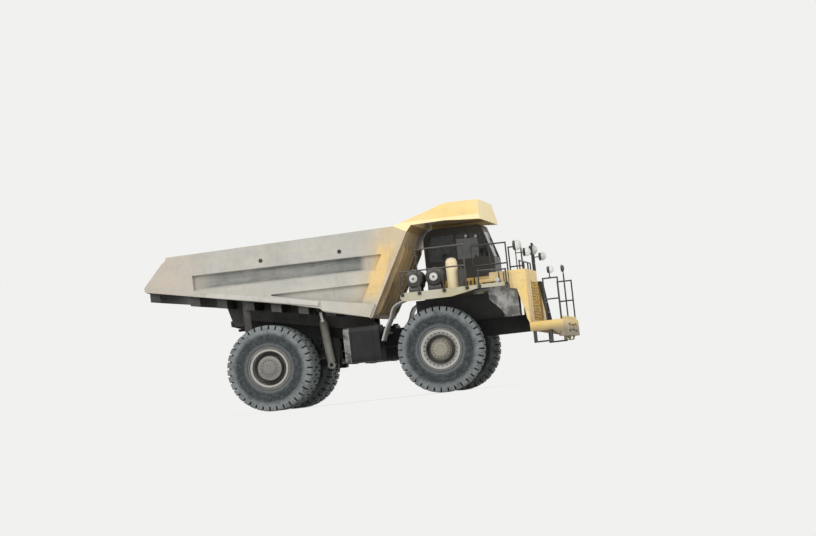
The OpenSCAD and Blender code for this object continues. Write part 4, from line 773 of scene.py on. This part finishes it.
def front_lamps():
    """Domed lenses and bezels on the headlamps, and a lens on the deck's side lamp."""
    lenses, bezels = Fitting("headlamp_lenses", "lamp_glass"), Fitting("headlamp_bezels", "nut_steel")
    lens_outline = [(0.074, -0.006), (0.072, 0.002), (0.05, 0.01), (0, 0.014)]
    bezel_outline = [(0.078, -0.02), (0.094, -0.02), (0.094, 0), (0.086, 0.01), (0.076, 0.006)]
    side_lens = [(0.048, -0.004), (0.046, 0.004), (0.02, 0.009), (0, 0.01)]
    for sign in SIDES.values():
        for y in (0.76, 1.04):
            spot = (ahead(3.14), sign * y, 1.28)
            lenses.turned(spot, FORWARD, lens_outline, 32)
            bezels.turned(spot, FORWARD, bezel_outline, 32)
    lenses.turned((ahead(1.615), -2.175, DECK_TOP + 0.065), -LEFT, side_lens)
    lenses.fit()
    bezels.fit()


def work_lamps():
    """Two small lamps on brackets, high on the cab's right side."""
    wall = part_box("cab_shell")[0].y
    cases, fronts = Fitting("work_lamp_cases", "mirror_case"), Fitting("work_lamp_lenses", "lamp_glass")
    for x, z in ((0.67, 3.9), (0.92, 3.87)):
        spot = Vector((ahead(x), wall - 0.1, z))
        cases.turned(spot, LEFT, [(0.045, 0), (0.045, 0.03), (0.03, 0.07), (0.015, 0.08)])
        cases.tube([spot + LEFT * 0.07, spot + Vector((0, 0.13, 0.04))], 0.016)
        fronts.turned(spot, -LEFT, [(0.04, -0.004), (0.038, 0.004), (0, 0.01)])
    cases.fit()
    fronts.fit()


def tail_lamps():
    """A red lamp in a case behind each frame rail."""
    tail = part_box("main_frame")[0].x
    cases, reds = Fitting("tail_lamp_cases", "mirror_case"), Fitting("tail_lamp_lenses", "tail_glass")
    size = Vector((0.05, 0.12, 0.15))
    for sign in SIDES.values():
        low = Vector((tail - size.x, sign * 0.49 - size.y / 2, 2.24))
        cases.block(low, low + size, 0.006)
        spot = low + Vector((-0.001, size.y / 2, size.z / 2))
        reds.turned(spot, -FORWARD, [(0.045, -0.002), (0.044, 0.006), (0, 0.012)])
    cases.fit()
    reds.fit()


def bed_liners():
    """Wear plates laid over the bed's floor, in rows with open joints."""
    start, end = Vector((ahead(-1.8), 0, 2.368)), Vector((ahead(-7.2), 0, 3.334))
    rows, across, half, joint = 9, 3, 1.78, 0.012
    lifts = (0.001, 0.012)         # the underside and the top, over the floor
    run = end - start
    up = Vector((run.z, 0, -run.x)).normalized()
    sides_of_box = ((0, 1, 3, 2), (4, 6, 7, 5), (0, 4, 5, 1), (2, 3, 7, 6), (0, 2, 6, 4), (1, 5, 7, 3))
    liners = Fitting("bed_liners", "bed_floor_steel", "dump_bed")
    for i in range(rows):
        ends = (start + run * (i / rows), start + run * ((i + 1) / rows) - run.normalized() * joint)
        for k in range(across):
            edges = (-half + 2 * half * k / across, -half + 2 * half * (k + 1) / across - joint)
            verts = [liners.mesh.verts.new(Vector((place.x, y, place.z)) + up * lift)
                     for lift in lifts for place in ends for y in edges]
            for face in sides_of_box:
                liners.mesh.faces.new([verts[v] for v in face])
    liners.fit()


def front_bolts():
    """Bolt heads up both sides of the grille's frame and along the bumper."""
    bolts = Fitting("front_bolts", "nut_steel")
    for y in (GRILLE_LOW.y + 0.03, GRILLE_HIGH.y - 0.03):
        spots = [(GRILLE_HIGH.x, y, GRILLE_LOW.z + 0.1 + 0.16 * i) for i in range(7)]
        bolts.bolts(spots, FORWARD, 0.011, 0.008)
    for y in (-0.42, -0.14, 0.14, 0.42):
        bolts.bolts([(BUMPER_HIGH.x - 0.02, y, z) for z in (1.22, 1.34)], FORWARD, 0.018, 0.014)
    bolts.fit()


def frame_pipes():
    """Steel pipes clipped along the top of each frame rail."""
    rail_y, rail_z, pipe_z = 0.49, 1.7, 1.736
    line = [(-0.3, rail_z), (-0.32, pipe_z), (-0.4, pipe_z),
            (-1.6, pipe_z), (-1.68, pipe_z), (-1.7, rail_z)]
    clip = Vector((0.04, 0.12, 0.032))
    for side, sign in SIDES.items():
        pipes = Fitting(f"frame_pipes_{side}", "nut_steel")
        for y in (0.45, 0.485, 0.52):
            pipes.tube(bend([(ahead(x), sign * y, z) for x, z in line]), 0.022, 8)
        for x in (-0.6, -1.0, -1.4):
            low = Vector((ahead(x) - clip.x / 2, sign * rail_y - clip.y / 2, 1.72))
            pipes.block(low, low + clip, 0.004)
        pipes.fit()


def seat():
    """Two stuffed cushions with crowned faces, over the seat's frame."""
    middle, floor = 1.13, DECK_TOP + 0.06
    pinch = 0.06                   # how far the edges pull in, as a share of the cushion's size
    cushions = {
        "seat_cushion": (0, 0.53, 0.25, 0.45, 0.55, 0),
        "seat_back": (0.02, 0.12, 0.23, 0.56, 1.08, 0.19),
    }
    for name, (back, front, half, foot, top, lean) in cushions.items():
        low = Vector((ahead(back), middle - half, floor + foot))
        high = Vector((ahead(front), middle + half, floor + top))
        centre, size = (low + high) / 2, high - low
        pad = Fitting(name, "seat_cloth").block(low, high)
        bmesh.ops.subdivide_edges(pad.mesh, edges=pad.mesh.edges, cuts=7, use_grid_fill=True)
        for vert in pad.mesh.verts:
            part = [(vert.co[i] - centre[i]) / size[i] * 2 for i in range(3)]
            for i in range(3):
                edge = max(abs(part[k]) for k in range(3) if k != i)
                vert.co[i] -= part[i] * size[i] * pinch * edge ** 4
            vert.co.x -= (vert.co.z - low.z) * lean
        pad.fit()


def cab_fittings():
    """A wiper on the windscreen, and a display and a lever by the seat."""
    glass_low, glass_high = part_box("cab_glass")
    trim = Fitting("cab_fittings", "cab_trim")
    base = Vector((glass_high.x + 0.035, 1.05, glass_low.z + 0.03))
    tip = Vector((glass_high.x - 0.08, 0.75, glass_low.z + 0.5))
    trim.tube([base, base.lerp(tip, 0.5) + FORWARD * 0.03, tip], 0.016)
    trim.tube([tip + Vector((0.05, 0, -0.25)), tip + Vector((-0.05, 0, 0.2))], 0.012)
    trim.block((ahead(0.78), 0.72, 3.25), (ahead(0.82), 0.98, 3.42), 0.008)
    trim.tube([(ahead(0.3), 0.8, 2.62), (ahead(0.32), 0.8, 3.05), (ahead(0.34), 0.8, 3.1)], 0.03)
    trim.fit()


wheel_fastenings()
radiator_core()
cleaner_caps()
mirror_glasses()
front_lamps()
work_lamps()
tail_lamps()
bed_liners()
front_bolts()
frame_pipes()
seat()
cab_fittings()


# Studio

VIEW_TURN = math.radians(9)        # the camera stands this far ahead of square to the right side
VIEW_ROLL = math.radians(6.3)      # the truck climbs to the right of the picture
VIEW_DISTANCE = 75                 # metres from the near side, a long lens
CAMERA_HEIGHT = 0.15
NEAR_SIDE = -2.05                  # Y of the near front wheel's face
PICTURE = (816, 536)
PIXELS_PER_METRE = 40.4            # at the near side
WHEEL_PIXEL = (440.3, 349.3)       # where the near front wheel's centre lies
SENSOR = 36
PAPER_WHITE = tint("f1f1ef")
AIR_LIGHT = (0.7, 0.72, 0.75, 1)
FLOOR_REACH = 120


def camera():
    """A long lens at floor level, turned so that the near front wheel falls on its pixel."""
    near = Vector((FRONT_AXLE.x, NEAR_SIDE, FRONT_AXLE.z))
    back = Vector((math.sin(VIEW_TURN), -math.cos(VIEW_TURN), 0))
    middle = Vector(((cad_box[0][0] + cad_box[1][0]) / 2, near.y, near.z))
    spot = middle + back * VIEW_DISTANCE
    spot.z = CAMERA_HEIGHT
    focal = PIXELS_PER_METRE * (near - spot).length
    forward = (near - spot).normalized()
    side = forward.cross(Vector((0, 0, 1))).normalized()
    lift = side.cross(forward)
    roll = Matrix.Rotation(VIEW_ROLL, 3, forward)
    side, lift = roll @ side, roll @ lift
    # Each turn leaves a smaller miss, and after six the wheel is on its pixel
    for _ in range(6):
        offset = near - spot
        depth = offset.dot(forward)
        across = offset.dot(side) * focal / depth - (WHEEL_PIXEL[0] - PICTURE[0] / 2)
        up = offset.dot(lift) * focal / depth + (WHEEL_PIXEL[1] - PICTURE[1] / 2)
        forward = (forward + side * (across / focal) + lift * (up / focal)).normalized()
        side = (side - forward * side.dot(forward)).normalized()
        lift = side.cross(forward)
    data = bpy.data.cameras.new("photo_view")
    data.sensor_width = SENSOR
    data.lens = focal * SENSOR / PICTURE[0]
    data.clip_end = 500
    rig = bpy.data.objects.new("photo_view", data)
    rig.matrix_world = Matrix.Translation(spot) @ Matrix((side, lift, -forward)).transposed().to_4x4()
    bpy.context.collection.objects.link(rig)
    bpy.context.scene.camera = rig


def soft_lamp(name, spot, size, watts):
    """A broad lamp that faces the truck's middle."""
    aim = Vector((0, 0, 2.5))
    data = bpy.data.lights.new(name, "AREA")
    data.shape = "RECTANGLE"
    data.size, data.size_y = size
    data.energy = watts
    lamp = bpy.data.objects.new(name, data)
    lamp.location = spot
    lamp.rotation_euler = (aim - Vector(spot)).to_track_quat("-Z", "Y").to_euler()
    bpy.context.collection.objects.link(lamp)


def floor():
    """A pale floor that takes the truck's shadow near it, and fades to plain paper white further off."""
    mesh = bmesh.new()
    corners = ((-1, -1), (1, -1), (1, 1), (-1, 1))
    mesh.faces.new([mesh.verts.new((x * FLOOR_REACH, y * FLOOR_REACH, 0)) for x, y in corners])
    data = bpy.data.meshes.new("studio_floor")
    mesh.to_mesh(data)
    mesh.free()
    sheet = bpy.data.objects.new("studio_floor", data)
    bpy.context.collection.objects.link(sheet)
    finish = Finish("studio_paper", Roughness=0.95, Base_Color=tint("f6f6f4"))
    data.materials.append(finish.material)
    away = (finish.x * finish.x * 0.4 + finish.y * finish.y).maths("SQRT")
    share = finish.seen() * (away.between(1.2, 3.4) * 0.4 + 0.6)
    plain = finish.node("ShaderNodeEmission", {}, {"Color": PAPER_WHITE}).outputs[0]
    blend = finish.node("ShaderNodeMixShader", {}, {0: share, 1: finish.shader.outputs[0], 2: plain})
    finish.feed(finish.tree.nodes["Material Output"].inputs[0], blend.outputs[0])


def studio():
    """An endless pale floor under pale air, with soft lamps high on the camera's side."""
    floor()
    world = bpy.data.worlds.new("studio_air")
    world.use_nodes = True
    air = Graph(world.node_tree)
    air.feed(air.tree.nodes["Background"].inputs[0], air.mix(air.seen(), AIR_LIGHT, PAPER_WHITE))
    bpy.context.scene.world = world
    soft_lamp("sky_panel", (2, -4, 16), (16, 12), 840)
    soft_lamp("side_panel", (-8, -20, 13), (14, 8), 1940)
    soft_lamp("front_panel", (18, -12, 8), (8, 6), 500)
    bpy.context.scene.view_settings.view_transform = "Standard"


camera()
studio()
